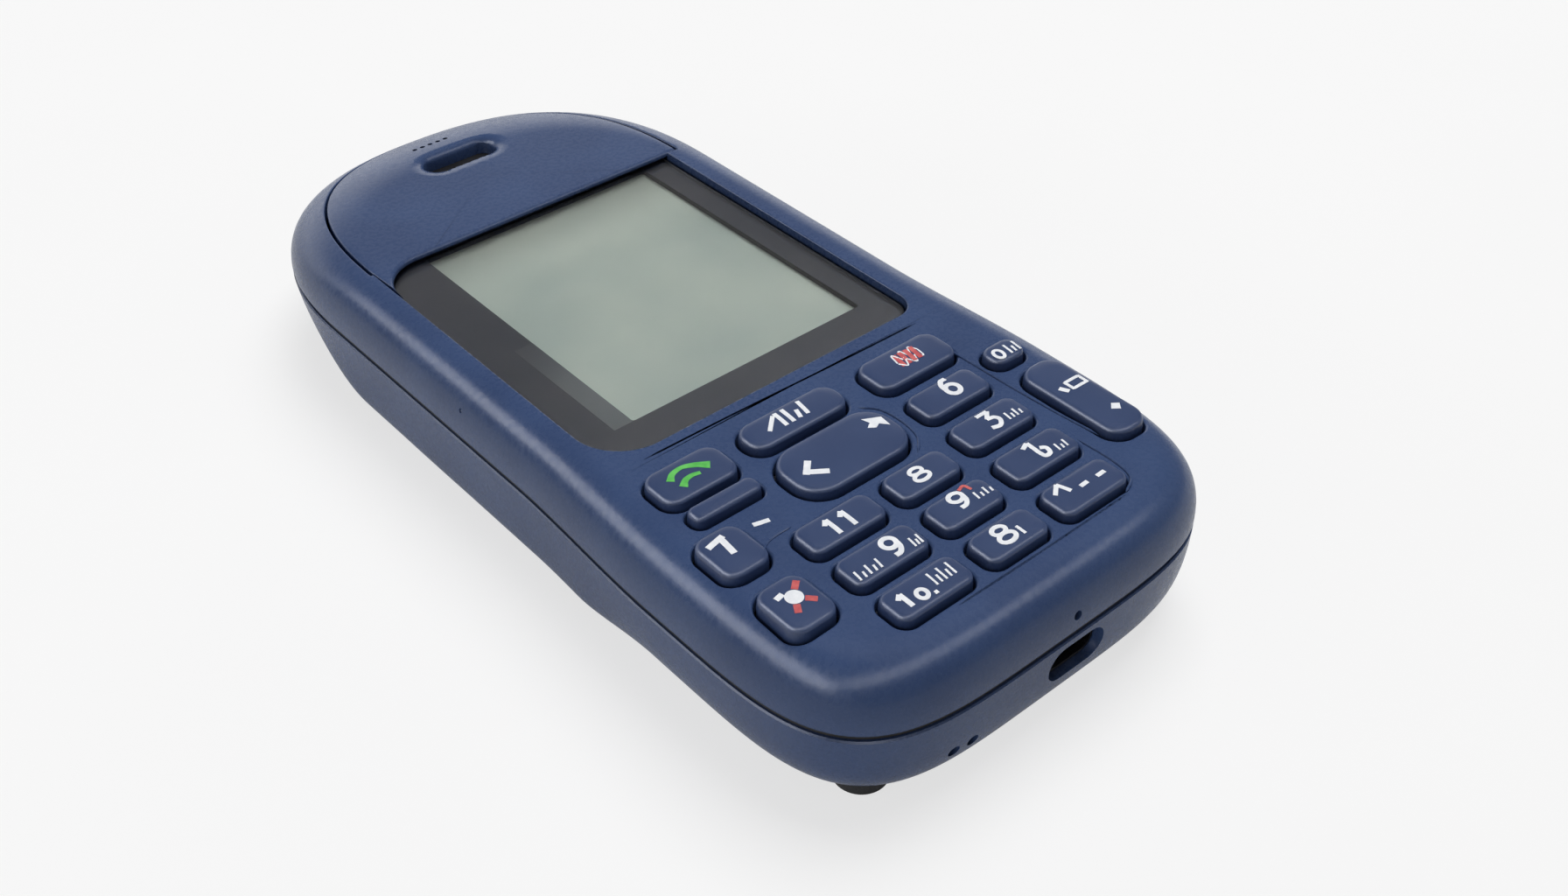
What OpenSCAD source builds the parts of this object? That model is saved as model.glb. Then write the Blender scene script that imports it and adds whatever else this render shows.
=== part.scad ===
// Feature phone: a lofted front and rear shell, a sunken display window, separate keys and the works inside.
// Millimetres. +Y points to the earpiece end, +Z up, and the origin lies under the middle on the table.

/* [Body] */
// Length of the body
body_l = 104; // [94:0.5:114]
// Width at the keypad, where the body is widest
low_w = 49; // [45:0.1:53]
// Width beside the display
up_w = 47.4; // [43:0.1:51]
// Height of the parting line above the table
part_z = 9.5; // [9.2:0.1:11]
// Height of the front shell above the parting line
front_h = 6; // [6:0.1:6.8]
// Dark groove left open along the parting line
part_gap = 0.2; // [0.1:0.05:0.4]
// Wall of the front shell
front_wall = 1.4; // [1.2:0.1:1.5]
// Side wall of the rear shell
rear_wall = 1.8; // [1.7:0.1:2]
// Floor of the rear shell
floor_t = 1.2; // [1:0.1:1.3]
// Depth of the rear shell at the earpiece end
nose_d = 1.5; // [1.4:0.1:2.5]

/* [Shoulders] */
// How far the long edges of the face round over
shoulder_x = 4.7; // [4.2:0.1:5]
// How far the keypad end of the face rounds over
shoulder_low = 4.7; // [4:0.1:5.5]
// How far the earpiece end of the face rounds over
shoulder_up = 12; // [10:0.5:14]
// Squareness of the keypad end seen from above
low_n = 4.4; // [3.8:0.1:5]
// Squareness of the earpiece end seen from above
up_n = 2.45; // [2.3:0.05:3]

/* [Display] */
// Side of the body to the window
window_side = 5.2; // [5:0.1:6]
// Length of the window that shows below the earpiece panel, on a body of the usual length
window_l = 39.8; // [39:0.1:41]
// Thickness of the window
window_t = 0.8; // [0.6:0.1:0.9]
// How far the window lies below the face
window_sink = 0.8; // [0.5:0.1:0.9]
// Window's middle, from the middle of the body
window_x = -0.6; // [-0.8:0.1:0.2]
// Keypad end to the window's near edge, on a body of the usual length
window_d = 37; // [36.6:0.1:38]
// Side of the body to the display's picture
view_side = 9.6; // [9.4:0.1:10.5]
// Window's near edge to the display's picture, on a body of the usual length
view_d = 4.7; // [4.6:0.1:6.3]
// Display's middle, from the middle of the body
view_x = 0.9; // [0:0.1:1.5]
// Thickness of the display module
lcd_t = 1.5; // [1.2:0.1:1.6]

/* [Keys] */
// How far the key tops stand above the face
key_rise = 1.1; // [0.8:0.1:1.4]
// Travel of a pressed key
key_travel = 0.35; // [0.2:0.05:0.35]
// Gap between a key and its opening
key_gap = 0.25; // [0.2:0.01:0.28]
// Pitch of the three rows of the left and middle number keys
row_pitch = 5.1; // [5:0.05:5.2]
// Length of a number key, along the body
number_l = 3.8; // [3.5:0.1:4]

/* [Battery] */
// Side of the body to the battery
battery_side = 5.7; // [5.7:0.1:8]
// Length of the battery, on a body of the usual length
battery_l = 31; // [28:0.5:31]
// Thickness of the battery
battery_t = 4.8; // [4:0.1:4.9]
// Slide of the battery cover before it lifts away
cover_slide = 12; // [8:1:14]

/* [Hidden] */
// Stretch of the layout along and across the body, whose places below are for a body of 104 by 49
ky = body_l / 104;
kx = low_w / 49;
half_l = body_l / 2;
end_y = -half_l;
face_z = part_z + front_h;
rear_z = part_z - part_gap;
under_z = face_z - front_wall;
fit = 0.12;
end_flat = 1.5;
end_steps = 12;
side_steps = 6;
round_steps = 5;

// Outline: a squarish keypad end, sides that flare a little, and a broad arched earpiece end
low_len = 25 * ky;
up_len = 26 * ky;
low_y = end_y + low_len;
up_y = half_l - up_len;
flare_y = end_y + 46 * ky;

// Exponent of the front shell's shoulder
side_n = 2.5;

// Rear shell: shallow under the earpiece, deep under the display, tucked in more at the keypad end
cover_t = 1.3;
cover_gap = 0.1;
rear_d = rear_z - cover_t - cover_gap;
ramp_y0 = end_y + 76 * ky;
ramp_y1 = end_y + 98 * ky;
tuck_keypad = 2.5;
tuck_belly = 0.7;
tuck_low = 2.6;
low_ease = 1.5;
tuck_up = 6;
floor_z = rear_z - rear_d + floor_t;
lip_t = 0.9;
lip_h = 1;

// Window, display and board, stacked down from the face
window_z1 = face_z - window_sink;
window_z0 = window_z1 - window_t;
window_w = up_w - 2 * window_side;
window_y0 = end_y + window_d * ky;
lip_y = window_y0 + window_l * ky;
under_lip = 1.5;
ledge_t = 0.5;
ledge_wall = 1;
view_margin = 0.6;
view_w = up_w - 2 * view_side;
view_y1 = lip_y - 0.8;
view_y0 = window_y0 + view_d * ky;
lcd_z1 = window_z0 - ledge_t - 0.1;
lcd_z0 = lcd_z1 - lcd_t;
lcd_side = 1.6;
lcd_tail = 4.3;
lcd_head = 2;
tray_t = 0.7;
tray_wall = 1;
board_t = 1;
board_z1 = lcd_z0 - tray_t - 0.1;
board_z0 = board_z1 - board_t;
board_in = 3.2;
board_y1 = lip_y + 6.2 * ky;

// Earpiece panel
panel_scale = 0.83;
panel_end = 3 * ky;
panel_z0 = face_z - 3.3;
panel_step = under_lip + ledge_wall + 0.35;
lip_clear = 0.1;
ear_x = 0.5;
ear_y = half_l - 12 * ky;
ear_w = 9;
ear_l = 3.6;
ear_d = 1.2;
sound_l = 7;
slot_w = 7.4;
slot_l = 1.5;
mesh_t = 0.4;
dot_r = 0.35;
dot_pitch = 1;

// Keys on the usual body: [name, x, distance from the keypad end, width, length, corner radius, tab side]
number_y = 7.3;
key_z0 = under_z - 0.7;
key_z1 = face_z + key_rise;
tab_t = 0.6;
tab_w = 3;
tab_out = 0.5;
column_x = [-9.8, -0.3, 9.1];
column_w = [8.4, 7.2, 8.2];
LAYOUT = concat(
    [
        ["call_key", -15.3, 30.5, 8.2, 4.9, 1.7, "x"],
        ["clear_key", -15.1, 26.2, 7.4, 2.2, 0.9, "x"],
        ["left_upper_key", -18.8, 20.8, 4.9, 5.8, 1.6, "y"],
        ["left_lower_key", -18.8, 12.8, 5, 6, 1.6, "y"],
        ["soft_left_key", -3.4, 30.8, 11.4, 4, 1.8, "x"],
        ["navigation_key", -3.2, 24.35, 12.8, 7, 3, "y"],
        ["soft_right_key", 10.3, 30.2, 9.8, 4.8, 1.6, "x"],
        ["side_round_key", 18.2, 25.3, 4.2, 3, 1.4, "y"],
        ["side_rocker", 18.7, 15.85, 4.8, 12.5, 2, "left"],
    ],
    [for (c = [0, 1], r = [0 : 2])
        [str(["number_key_left_", "number_key_mid_"][c], 3 - r),
            column_x[c], number_y + r * row_pitch, column_w[c], number_l, 1.2, "x"]],
    [for (r = [0 : 3])
        [str("number_key_right_", 4 - r),
            column_x[2] + 0.2 * r, number_y + r * (row_pitch + 0.5), column_w[2], number_l + 0.2, 1.2, "x"]]
);
KEYS = [for (k = LAYOUT) [k[0], k[1] * kx, k[2] * ky, k[3] * kx, k[4] * ky, k[5] * min(kx, ky), k[6]]];

// Keypad mat and dome sheet, between the board and the keys
mat_pad_z = key_z0 - key_travel - 0.05;
mat_t = 0.6;
mat_z0 = mat_pad_z - 0.4 - mat_t;
mat_in = 2.6;
mat_y1 = end_y + 34 * ky;
mat_skirt = 0.9;
pad_in = 0.5;
sheet_t = 0.12;
dome_h = 0.3;
dome_r = 1.3 * min(1, kx);

// Battery, its bay and its cover
bay_gap = 0.3;
bay_wall = 1;
belly_w = min(up_w, low_w);
battery_w = belly_w - 2 * battery_side;
battery_y1 = end_y + 72.5 * ky;
battery_y0 = battery_y1 - battery_l * ky;
battery_z0 = cover_t + cover_gap + 0.1;
battery_z1 = battery_z0 + battery_t;
contact_room = 2.2;
sim_t = 0.4;
bay_roof = 0.8;
bay_z1 = battery_z1 + 0.1 + sim_t + bay_roof;
bay_x = battery_w / 2 + bay_gap;
bay_y0 = battery_y0 - bay_gap;
bay_y1 = battery_y1 + contact_room;
cover_y0 = end_y + 38 * ky;
cover_y1 = bay_y1 + bay_wall + 1;
cover_w = up_w - 0.8;
cover_flat = [end_y + 60 * ky, end_y + 70 * ky];
hook_t = 0.8;
hook_l = 6 * ky;
hook_y = end_y + 57 * ky;
hook_lip = 0.5;
hook_gap = 0.15;
hook_x = belly_w / 2 - rear_wall - 0.3 - hook_lip - hook_t;
contact_w = 1.2;
contact_pitch = 4;

// Screws and feet
screw_r = 0.8;
head_r = 1.4;
head_h = 1;
post_r = 1.8;
screw_hole = screw_r + 0.05;
low_screw = [low_w / 2 - 6.9, end_y + 7.1 * ky];
up_screw = [up_w / 2 - rear_wall - post_r + 0.2, cover_flat[1] + 3.5];
post_z = board_z0 + board_t / 2;
foot = [low_w / 2 - 7.3, end_y + 6.4 * ky];
foot_r = 2.5;
foot_sunk = 0.6;
low_seat_z = floor_z + 1.5;
up_seat_z = floor_z + 3;

// Works in the keypad end
socket_x = 1.5;
socket_z = 6.5;
socket_w = 6;
socket_h = 2.8;
socket_t = 0.3;
socket_l = 6.8;
socket_y = end_y + 0.9;
mouth_gap = 0.25;
mic_x = 1;
mic_z = part_z + 1.9;
mic_r = 1.5;
mic_l = 1.6;
mic_y = end_y + 2.6;
mic_hole = 0.45;
eyelet_x = -11.4 * kx;
eyelet_z = 4.3;
eyelet_r = 0.6;
eyelet_pitch = 2;
speaker = [-10 * kx, end_y + 22 * ky];
speaker_r = 7.5;
speaker_t = 3.2;
sound_r = 0.7;
sound_pitch = 3;
motor_r = 2.2;
motor_x = [4, 13];
motor_y = end_y + 22 * ky;
motor_z = 6.2;
shaft_r = 0.5;
shaft_l = 4;
weight_r = 2.7;
weight_x = [13.6, 16.6];
run_gap = 0.03;
sleeve_w = 5.8;
sleeve_in = 0.6;

navy = [0.16, 0.2, 0.36];
key_navy = [0.13, 0.16, 0.28];

function smooth(t) = let (c = min(1, max(0, t))) c * c * (3 - 2 * c);
function grow(v, e) = v < 1e-6 ? 0 : pow(v, e);
function about(middle, half) = [middle - half, middle + half];
function from(start, size) = [start, start + size];

// Half the width of the sides, which flare towards the keypad
function side_w(y) = (up_w + (low_w - up_w) * smooth((flare_y - y) / (flare_y - low_y))) / 2;

// Half the width of the outline anywhere along the body
function half_w(y) =
    y > up_y ? up_w / 2 * grow(1 - grow((y - up_y) / up_len, up_n), 1 / up_n)
    : y < low_y ? low_w / 2 * grow(1 - grow((low_y - y) / low_len, low_n), 1 / low_n)
    : side_w(y);

// Right half of the outline, from the short flat of the keypad end to that of the earpiece end
RIGHT = concat(
    [for (i = [0 : end_steps]) let (a = 90 - 90 * i / end_steps)
        [max(end_flat, low_w / 2 * grow(cos(a), 2 / low_n)), low_y - low_len * grow(sin(a), 2 / low_n)]],
    [for (i = [1 : side_steps]) let (y = low_y + (up_y - low_y) * i / side_steps)
        [side_w(y), y]],
    [for (i = [1 : end_steps]) let (a = 90 * i / end_steps)
        [max(end_flat, up_w / 2 * grow(cos(a), 2 / up_n)), up_y + up_len * grow(sin(a), 2 / up_n)]]
);

// A half outline and its mirror image make a closed loop
function whole(half) = concat(half, [for (i = [len(half) - 1 : -1 : 0]) [-half[i].x, half[i].y]]);

// The body's half outline, drawn in at the sides, the keypad end and the earpiece end
function drawn_in(dx, d0, d1) =
    [for (p = RIGHT) [p.x * (1 - 2 * dx / low_w), end_y + d0 + (p.y - end_y) * (body_l - d0 - d1) / body_l]];

function at_height(loop, z) = [for (p = loop) [p.x, p.y, z]];

// Right half of a rectangle with round corners, about its own middle
function round_half(w, l, r) = concat(
    corner(w / 2 - r, r - l / 2, r, 270),
    corner(w / 2 - r, l / 2 - r, r, 0)
);

function round_rect(w, l, r) = whole(round_half(w, l, r));

// Points of a quarter round
function corner(x, y, r, a0) =
    [for (i = [0 : round_steps]) let (a = a0 + 90 * i / round_steps) [x + r * cos(a), y + r * sin(a)]];

// A solid through a stack of loops, lowest first, each mirrored about X = 0 and begun at its -Y end
module loft(rows) {
    n = len(rows[0]);
    last = (len(rows) - 1) * n;
    sides = [for (i = [0 : len(rows) - 2], j = [0 : n - 1], f = [0, 1])
        let (k = (j + 1) % n, a = i * n, b = a + n)
        f == 0 ? [a + j, b + j, b + k] : [a + j, b + k, a + k]];
    strips = [for (k = [0 : n / 2 - 2]) [k, k + 1, n - k - 2, n - k - 1]];
    top = [for (s = strips) [for (i = [len(s) - 1 : -1 : 0]) s[i] + last]];
    polyhedron(points = [for (row = rows, p = row) p], faces = concat(sides, strips, top));
}

// Front shell's form, set in by a wall of t, and carried below the parting line by drop.
// Its sides and keypad end follow a superellipse, and its earpiece end an ellipse.
function front_row(a, t) =
    let (square = 1 - grow(1 - grow(sin(a), side_n), 1 / side_n))
    at_height(whole(drawn_in(t + (shoulder_x - t) * square,
        t + (shoulder_low - t) * square,
        t + (shoulder_up - t) * (1 - cos(a)))), part_z + (front_h - t) * sin(a));

module front_form(t, drop = 0) {
    low = drop > 0 ? [at_height(whole(drawn_in(t, t, t)), part_z - drop)] : [];
    loft(concat(low, [for (a = [0 : 15 : 90]) front_row(a, t)]));
}

// Depth of the rear shell, and how far its lower edge tucks in, along the body
function rear_depth(y) = nose_d + (rear_d - nose_d) * smooth((ramp_y1 - y) / (ramp_y1 - ramp_y0));
function rear_tuck(y) = tuck_belly + (tuck_keypad - tuck_belly) * smooth((cover_y0 - y) / 12);

function rear_row(a, wall, bottom) =
    let (c = 1 - cos(a),
        flat = drawn_in(wall, wall + tuck_low * grow(c, low_ease), wall + tuck_up * c),
        half = [for (p = flat) [p.x * (1 - 2 * max(0.2, rear_tuck(p.y) - wall / 2) * c / low_w), p.y]])
    [for (p = whole(half)) [p.x, p.y, rear_z - (rear_depth(p.y) - bottom) * sin(a)]];

module rear_form(wall, bottom, rise = 0) {
    high = rise > 0 ? [at_height(whole(drawn_in(wall, wall, wall)), rear_z + rise)] : [];
    loft(concat([for (a = [90 : -15 : 0]) rear_row(a, wall, bottom)], high));
}

module both_sides() {
    children();
    mirror([1, 0, 0]) children();
}

module block(x, y, z) {
    translate([x[0], y[0], z[0]]) cube([x[1] - x[0], y[1] - y[0], z[1] - z[0]]);
}

module prism(loop, z0, z1) {
    translate([0, 0, z0]) linear_extrude(z1 - z0) polygon(loop);
}

// Window outline: a large corner at the call key, a small one at the other side
function window_loop(more) =
    let (x0 = window_x - window_w / 2 - more, x1 = window_x + window_w / 2 + more,
        y0 = window_y0 - more, y1 = lip_y + under_lip + more, big = 5 + more, small = 2.2 + more)
    concat(
        corner(x0 + big, y0 + big, big, 180),
        corner(x1 - small, y0 + small, small, 270),
        [[x1, y1], [x0, y1]]
    );

function panel_loop(less) =
    [for (p = whole(drawn_in(0, 0, panel_end + less))) [p.x * (panel_scale - 2 * less / low_w), p.y]];

module panel_prism(less, z0, y0) {
    intersection() {
        prism(panel_loop(less), z0, face_z + 1);
        block([-low_w, low_w], [y0, half_l], [z0, face_z + 1]);
    }
}

module key_at(k) {
    translate([k[1], end_y + k[2], 0]) children();
}

// Tabs that keep a key under the face, or with more, the room that they travel in
module key_tabs(k, more) {
    out = tab_out + more;
    z = more > 0 ? [key_z0 - 1, under_z] : from(key_z0, tab_t);
    across = min(tab_w, 0.6 * k[3] - 1.2 * k[5]) / 2 + more;
    along = min(tab_w, k[4] - 2 * k[5] + 0.4) / 2 + more;
    if (k[6] == "x") block(about(0, k[3] / 2 + out), about(0, along), z);
    if (k[6] == "y") block(about(0, across), about(0, k[4] / 2 + out), z);
    if (k[6] == "left") block([-k[3] / 2 - out, 0], about(0, tab_w / 2 + more), z);
}

module front_post(p, top) {
    translate([p.x, p.y, post_z + 0.05]) difference() {
        cylinder(h = top - post_z - 0.05, r = post_r, $fn = 12);
        translate([0, 0, -1]) cylinder(h = 3.5, r = screw_hole, $fn = 12);
    }
}

module front_housing() {
    color(navy) difference() {
        union() {
            difference() {
                front_form(0);
                front_form(front_wall, 1);
            }
            prism(window_loop(ledge_wall), window_z0 - ledge_t, under_z + 0.1);
            both_sides() {
                front_post(low_screw, under_z + 0.1);
                front_post(up_screw, window_z0 - ledge_t + 0.1);
            }
        }
        prism(window_loop(fit), window_z0, face_z + 1);
        block(about(view_x, view_w / 2 + view_margin), [view_y0 - view_margin, lip_y + under_lip],
            [board_z1, window_z1]);
        panel_prism(0, under_z + 0.1, lip_y);
        panel_prism(0, panel_z0 - 2, lip_y + under_lip + ledge_wall + 0.1);
        for (k = KEYS) key_at(k) {
            prism(round_rect(k[3] + 2 * key_gap, k[4] + 2 * key_gap, k[5] + key_gap), key_z0 - 1, face_z + 1);
            key_tabs(k, 0.2);
        }
        translate([mic_x, end_y - 1, mic_z]) rotate([-90, 0, 0]) cylinder(h = 4, r = mic_hole, $fn = 8);
        block(about(-0.8, 16.2 * kx), from(window_y0 - 2.2, 0.4), from(face_z - 0.3, 1));
        block(about(1, 10 * kx), from(end_y + 4.4 * ky, 0.4), from(face_z - 0.3, 1));
    }
}

// Tongue along the parting line, further in at the earpiece end, where the front shell leans more
function lip_loop(t) = let (in = front_wall + fit + t) whole(drawn_in(in, in, in + 0.3));

module rear_lip() {
    difference() {
        loft([for (z = [rear_z - 1, part_z + lip_h]) at_height(lip_loop(0), z)]);
        loft([for (z = [rear_z - 2, part_z + lip_h + 1]) at_height(lip_loop(lip_t), z)]);
        block(about(mic_x, mic_r + 0.4), from(end_y, 4), from(part_z - 0.1, 3));
    }
}

module screw_cut(p, seat, head) {
    translate([p.x, p.y, 0]) {
        translate([0, 0, seat - 1]) cylinder(h = 20, r = screw_hole, $fn = 24);
        translate([0, 0, -1]) cylinder(h = seat + 1, r = head + 0.15, $fn = 24);
    }
}

module hook_slot() {
    y0 = hook_y - cover_slide - hook_gap;
    x0 = hook_x - hook_gap;
    z = [0, floor_z + 0.2];
    block(from(x0, hook_t + 2 * hook_gap), [y0, hook_y + hook_l + hook_gap], z);
    block(from(x0, hook_t + hook_lip + 2 * hook_gap), from(y0, hook_l + 2 * hook_gap), z);
}

module socket_tube(more, y0, y1) {
    translate([socket_x, y1, socket_z]) rotate([90, 0, 0]) linear_extrude(y1 - y0)
        polygon(round_rect(socket_w + 2 * more, socket_h + 2 * more, socket_h / 2 + more - 0.01));
}

module sound_holes() {
    for (a = [0 : 60 : 300]) translate([sound_pitch * cos(a), sound_pitch * sin(a), 0])
        cylinder(h = floor_z + 1, r = sound_r, $fn = 24);
    cylinder(h = floor_z + 1, r = sound_r, $fn = 24);
}

module rear_housing() {
    color(navy) difference() {
        union() {
            difference() {
                rear_form(0, 0);
                rear_form(rear_wall, floor_t, 1);
            }
            rear_lip();
            block(about(0, bay_x + bay_wall), [bay_y0 - bay_wall, bay_y1 + bay_wall],
                [floor_z - 0.4, bay_z1]);
            both_sides() {
                for (p = [low_screw, up_screw]) translate([p.x, p.y, floor_z - 0.4])
                    cylinder(h = post_z - floor_z + 0.4, r = post_r, $fn = 32);
            }
        }
        block(about(0, bay_x), [bay_y0, bay_y1], [-1, bay_z1 - bay_roof]);
        for (i = [-1 : 1])
            block(about(i * contact_pitch, contact_w / 2 + 0.2), [bay_y1 - contact_w - 0.7, bay_y1],
                about(bay_z1, 1));
        both_sides() {
            screw_cut(low_screw, low_seat_z, head_r);
            screw_cut(up_screw, up_seat_z, head_r);
            hook_slot();
            translate([foot.x, foot.y, -1])
                cylinder(h = rear_z - rear_d + foot_sunk + 1, r = foot_r + 0.1, $fn = 32);
        }
        socket_tube(mouth_gap, end_y - 1, socket_y + socket_l + mouth_gap);
        for (s = [-1, 1]) translate([eyelet_x + s * eyelet_pitch / 2, end_y - 1, eyelet_z])
            rotate([-90, 0, 0]) cylinder(h = 5, r = eyelet_r, $fn = 24);
        translate([speaker.x, speaker.y, 0]) sound_holes();
    }
}

module ear_loop(w, l, z0, z1) {
    translate([ear_x, ear_y, 0]) prism(round_rect(w, l, l / 2 - 0.05), z0, z1);
}

module earpiece_panel() {
    tab_y = [lip_y + 4 * ky, lip_y + 10 * ky];
    tab_x = half_w(tab_y[1] + 3) - front_wall - 1.6;
    color(navy) difference() {
        union() {
            intersection() {
                front_form(0);
                panel_prism(fit, panel_z0, lip_y);
            }
            both_sides() block([tab_x - 4, tab_x], tab_y, from(panel_z0, 0.6));
        }
        block([-low_w, low_w], [lip_y - 1, lip_y + panel_step], [panel_z0 - 1, window_z1 + lip_clear]);
        ear_loop(ear_w, ear_l, face_z - ear_d, face_z + 1);
        ear_loop(slot_w, slot_l, panel_z0 - 1, face_z);
        ear_loop(ear_w, ear_l, panel_z0 - 1, face_z - ear_d - 0.8);
        for (i = [-2 : 2]) translate([ear_x - 1 + i * dot_pitch, ear_y + 4.6, panel_z0 - 1])
            cylinder(h = front_h, r = dot_r, $fn = 8);
    }
}

module display_window() {
    color([0.2, 0.2, 0.23]) prism(window_loop(0), window_z0, window_z1);
}

// Cover's half outline, set in at the edge, with stations where its flat underside starts and ends
function cover_half(in) =
    let (r = 4 - in, x = cover_w / 2 - in)
    concat(
        corner(x - r, cover_y0 + in + r, r, 270),
        [[x, cover_flat[0]], [x, cover_flat[1]]],
        corner(x - r, cover_y1 - in - r, r, 0)
    );

function cover_under(y) =
    y < cover_flat[0] ? 0.95 * (cover_flat[0] - y) / (cover_flat[0] - cover_y0)
    : y > cover_flat[1] ? 0.95 * pow((y - cover_flat[1]) / (cover_y1 - cover_flat[1]), 2)
    : 0;

function cover_row(in, share) =
    [for (p = whole(cover_half(in)))
        let (z = cover_under(p.y)) [p.x, p.y, z + (cover_t - z) * share]];

module cover_hook() {
    top = floor_z + 0.3;
    block([hook_x, hook_x + hook_t], [hook_y, hook_y + hook_l], [cover_t - 0.4, top + 0.6]);
    block([hook_x, hook_x + hook_t + hook_lip], [hook_y, hook_y + hook_l], [top, top + 0.6]);
}

module battery_cover() {
    color(navy) union() {
        loft([cover_row(1, 0), cover_row(0.25, 0.4), cover_row(0, 1)]);
        both_sides() cover_hook();
    }
}

module lcd_block(more, z0, z1) {
    block(about(view_x, view_w / 2 + lcd_side + more),
        [view_y0 - lcd_tail - more, view_y1 + lcd_head + more], [z0, z1]);
}

module lcd_panel() {
    color([0.6, 0.65, 0.6]) lcd_block(0, lcd_z0, lcd_z1);
}

module lcd_frame() {
    color("white") difference() {
        lcd_block(fit + tray_wall, board_z1, lcd_z1 - 0.4);
        lcd_block(fit, lcd_z0, lcd_z1);
    }
}

module mic_clear() {
    block(about(mic_x, mic_r + 0.3), [end_y, mic_y + mic_l + 0.3], [board_z0 - 1, face_z]);
}

module main_board() {
    color("darkgreen") difference() {
        intersection() {
            prism(whole(drawn_in(board_in, board_in, board_in)), board_z0, board_z1);
            block([-low_w, low_w], [end_y, board_y1], [board_z0, board_z1]);
        }
        both_sides() for (p = [low_screw, up_screw])
            translate([p.x, p.y, board_z0 - 1]) cylinder(h = 3, r = post_r + 0.3, $fn = 24);
        mic_clear();
    }
}

module shield_can() {
    can_y = [bay_y0 + 3, bay_y1 - 7];
    color("silver") difference() {
        block(about(0, bay_x - 4), can_y, [bay_z1 + 0.2, board_z0]);
        block(about(0, bay_x - 4.2), can_y + [0.2, -0.2], [bay_z1 + 0.4, board_z0 + 1]);
    }
}

module keypad_area(in, z0, z1) {
    intersection() {
        prism(whole(drawn_in(in, in + 0.8, in)), z0, z1);
        block([-low_w, low_w], [end_y, mat_y1 - in + mat_in], [z0, z1]);
    }
}

module screw_clear() {
    both_sides() translate([low_screw.x, low_screw.y, board_z1 - 1])
        cylinder(h = key_z0, r = post_r + 0.3, $fn = 24);
}

module dome_sheet() {
    color("gold") difference() {
        union() {
            keypad_area(mat_in + mat_skirt + 0.2, board_z1, board_z1 + sheet_t);
            for (k = KEYS) key_at(k) translate([0, 0, board_z1])
                cylinder(h = sheet_t + dome_h, r1 = min(dome_r, k[4] / 2), r2 = 0.8);
        }
        screw_clear();
    }
}

module keypad_mat() {
    color([0.3, 0.32, 0.4]) difference() {
        union() {
            keypad_area(mat_in, board_z1, mat_z0 + mat_t);
            for (k = KEYS) key_at(k)
                prism(round_rect(k[3] - 2 * pad_in, k[4] - 2 * pad_in, k[5] / 2), mat_z0, mat_pad_z);
        }
        difference() {
            keypad_area(mat_in + mat_skirt, board_z1 - 1, mat_z0);
            for (k = KEYS) key_at(k)
                translate([0, 0, board_z1 + sheet_t + dome_h + 0.02]) cylinder(h = 3, r = 0.7, $fn = 24);
        }
        screw_clear();
        mic_clear();
    }
}

module battery() {
    color([0.25, 0.25, 0.28]) translate([-battery_w / 2, 0, 0]) rotate([90, 0, 90]) linear_extrude(battery_w)
        polygon(concat(
            corner(battery_y0 + 1, battery_z0 + 1, 1, 180), corner(battery_y1 - 1, battery_z0 + 1, 1, 270),
            corner(battery_y1 - 1, battery_z1 - 1, 1, 0), corner(battery_y0 + 1, battery_z1 - 1, 1, 90)));
}

module battery_contacts() {
    color("gold") for (i = [-1 : 1]) {
        block(about(i * contact_pitch, contact_w / 2), from(bay_y1 - contact_w - 0.4, contact_w),
            [battery_z0 + 1.4, board_z0 - 0.01]);
        block(about(i * contact_pitch, contact_w / 2), [battery_y1 + 0.2, bay_y1 - contact_w],
            [battery_z0 + 1.4, battery_z0 + 2.6]);
    }
}

module sim_holder() {
    color("silver") translate([0, (battery_y0 + battery_y1) / 2, bay_z1 - bay_roof - sim_t]) difference() {
        linear_extrude(sim_t) polygon(round_rect(18, 14, 1));
        translate([0, 0, -1]) linear_extrude(2) polygon(round_rect(11, 8, 1));
    }
}

module earpiece_speaker() {
    rest_z = rear_z - rear_depth(ear_y + sound_l / 2) + floor_t + 0.1;
    color([0.2, 0.2, 0.2]) translate([ear_x, ear_y, 0])
        prism(round_rect(13, sound_l, 2), rest_z, panel_z0 - 0.1);
}

module earpiece_mesh() {
    top = face_z - ear_d - 0.8;
    color([0.1, 0.1, 0.1]) difference() {
        ear_loop(ear_w - 2 * fit, ear_l - 2 * fit, top - mesh_t, top);
        for (i = [-3 : 3]) translate([ear_x + i * dot_pitch, ear_y, top - 1])
            cylinder(h = 2, r = dot_r, $fn = 8);
    }
}

module loudspeaker() {
    color([0.15, 0.15, 0.15]) translate([speaker.x, speaker.y, floor_z]) difference() {
        cylinder(h = speaker_t, r = speaker_r, $fn = 64);
        translate([0, 0, -1]) cylinder(h = 1.6, r = speaker_r - 1.2, $fn = 64);
    }
}

module microphone() {
    color("silver") translate([mic_x, mic_y, mic_z]) rotate([-90, 0, 0]) difference() {
        cylinder(h = mic_l, r = mic_r, $fn = 48);
        translate([0, 0, -1]) cylinder(h = 1.5, r = mic_hole, $fn = 24);
    }
}

module along_motor(x) {
    translate([x, motor_y, motor_z]) rotate([0, 90, 0]) children();
}

module vibration_motor() {
    color("silver") union() {
        along_motor(motor_x[0]) cylinder(h = motor_x[1] - motor_x[0], r = motor_r, $fn = 48);
        along_motor(motor_x[1] - 1) cylinder(h = shaft_l + 1, r = shaft_r, $fn = 32);
    }
}

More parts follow.
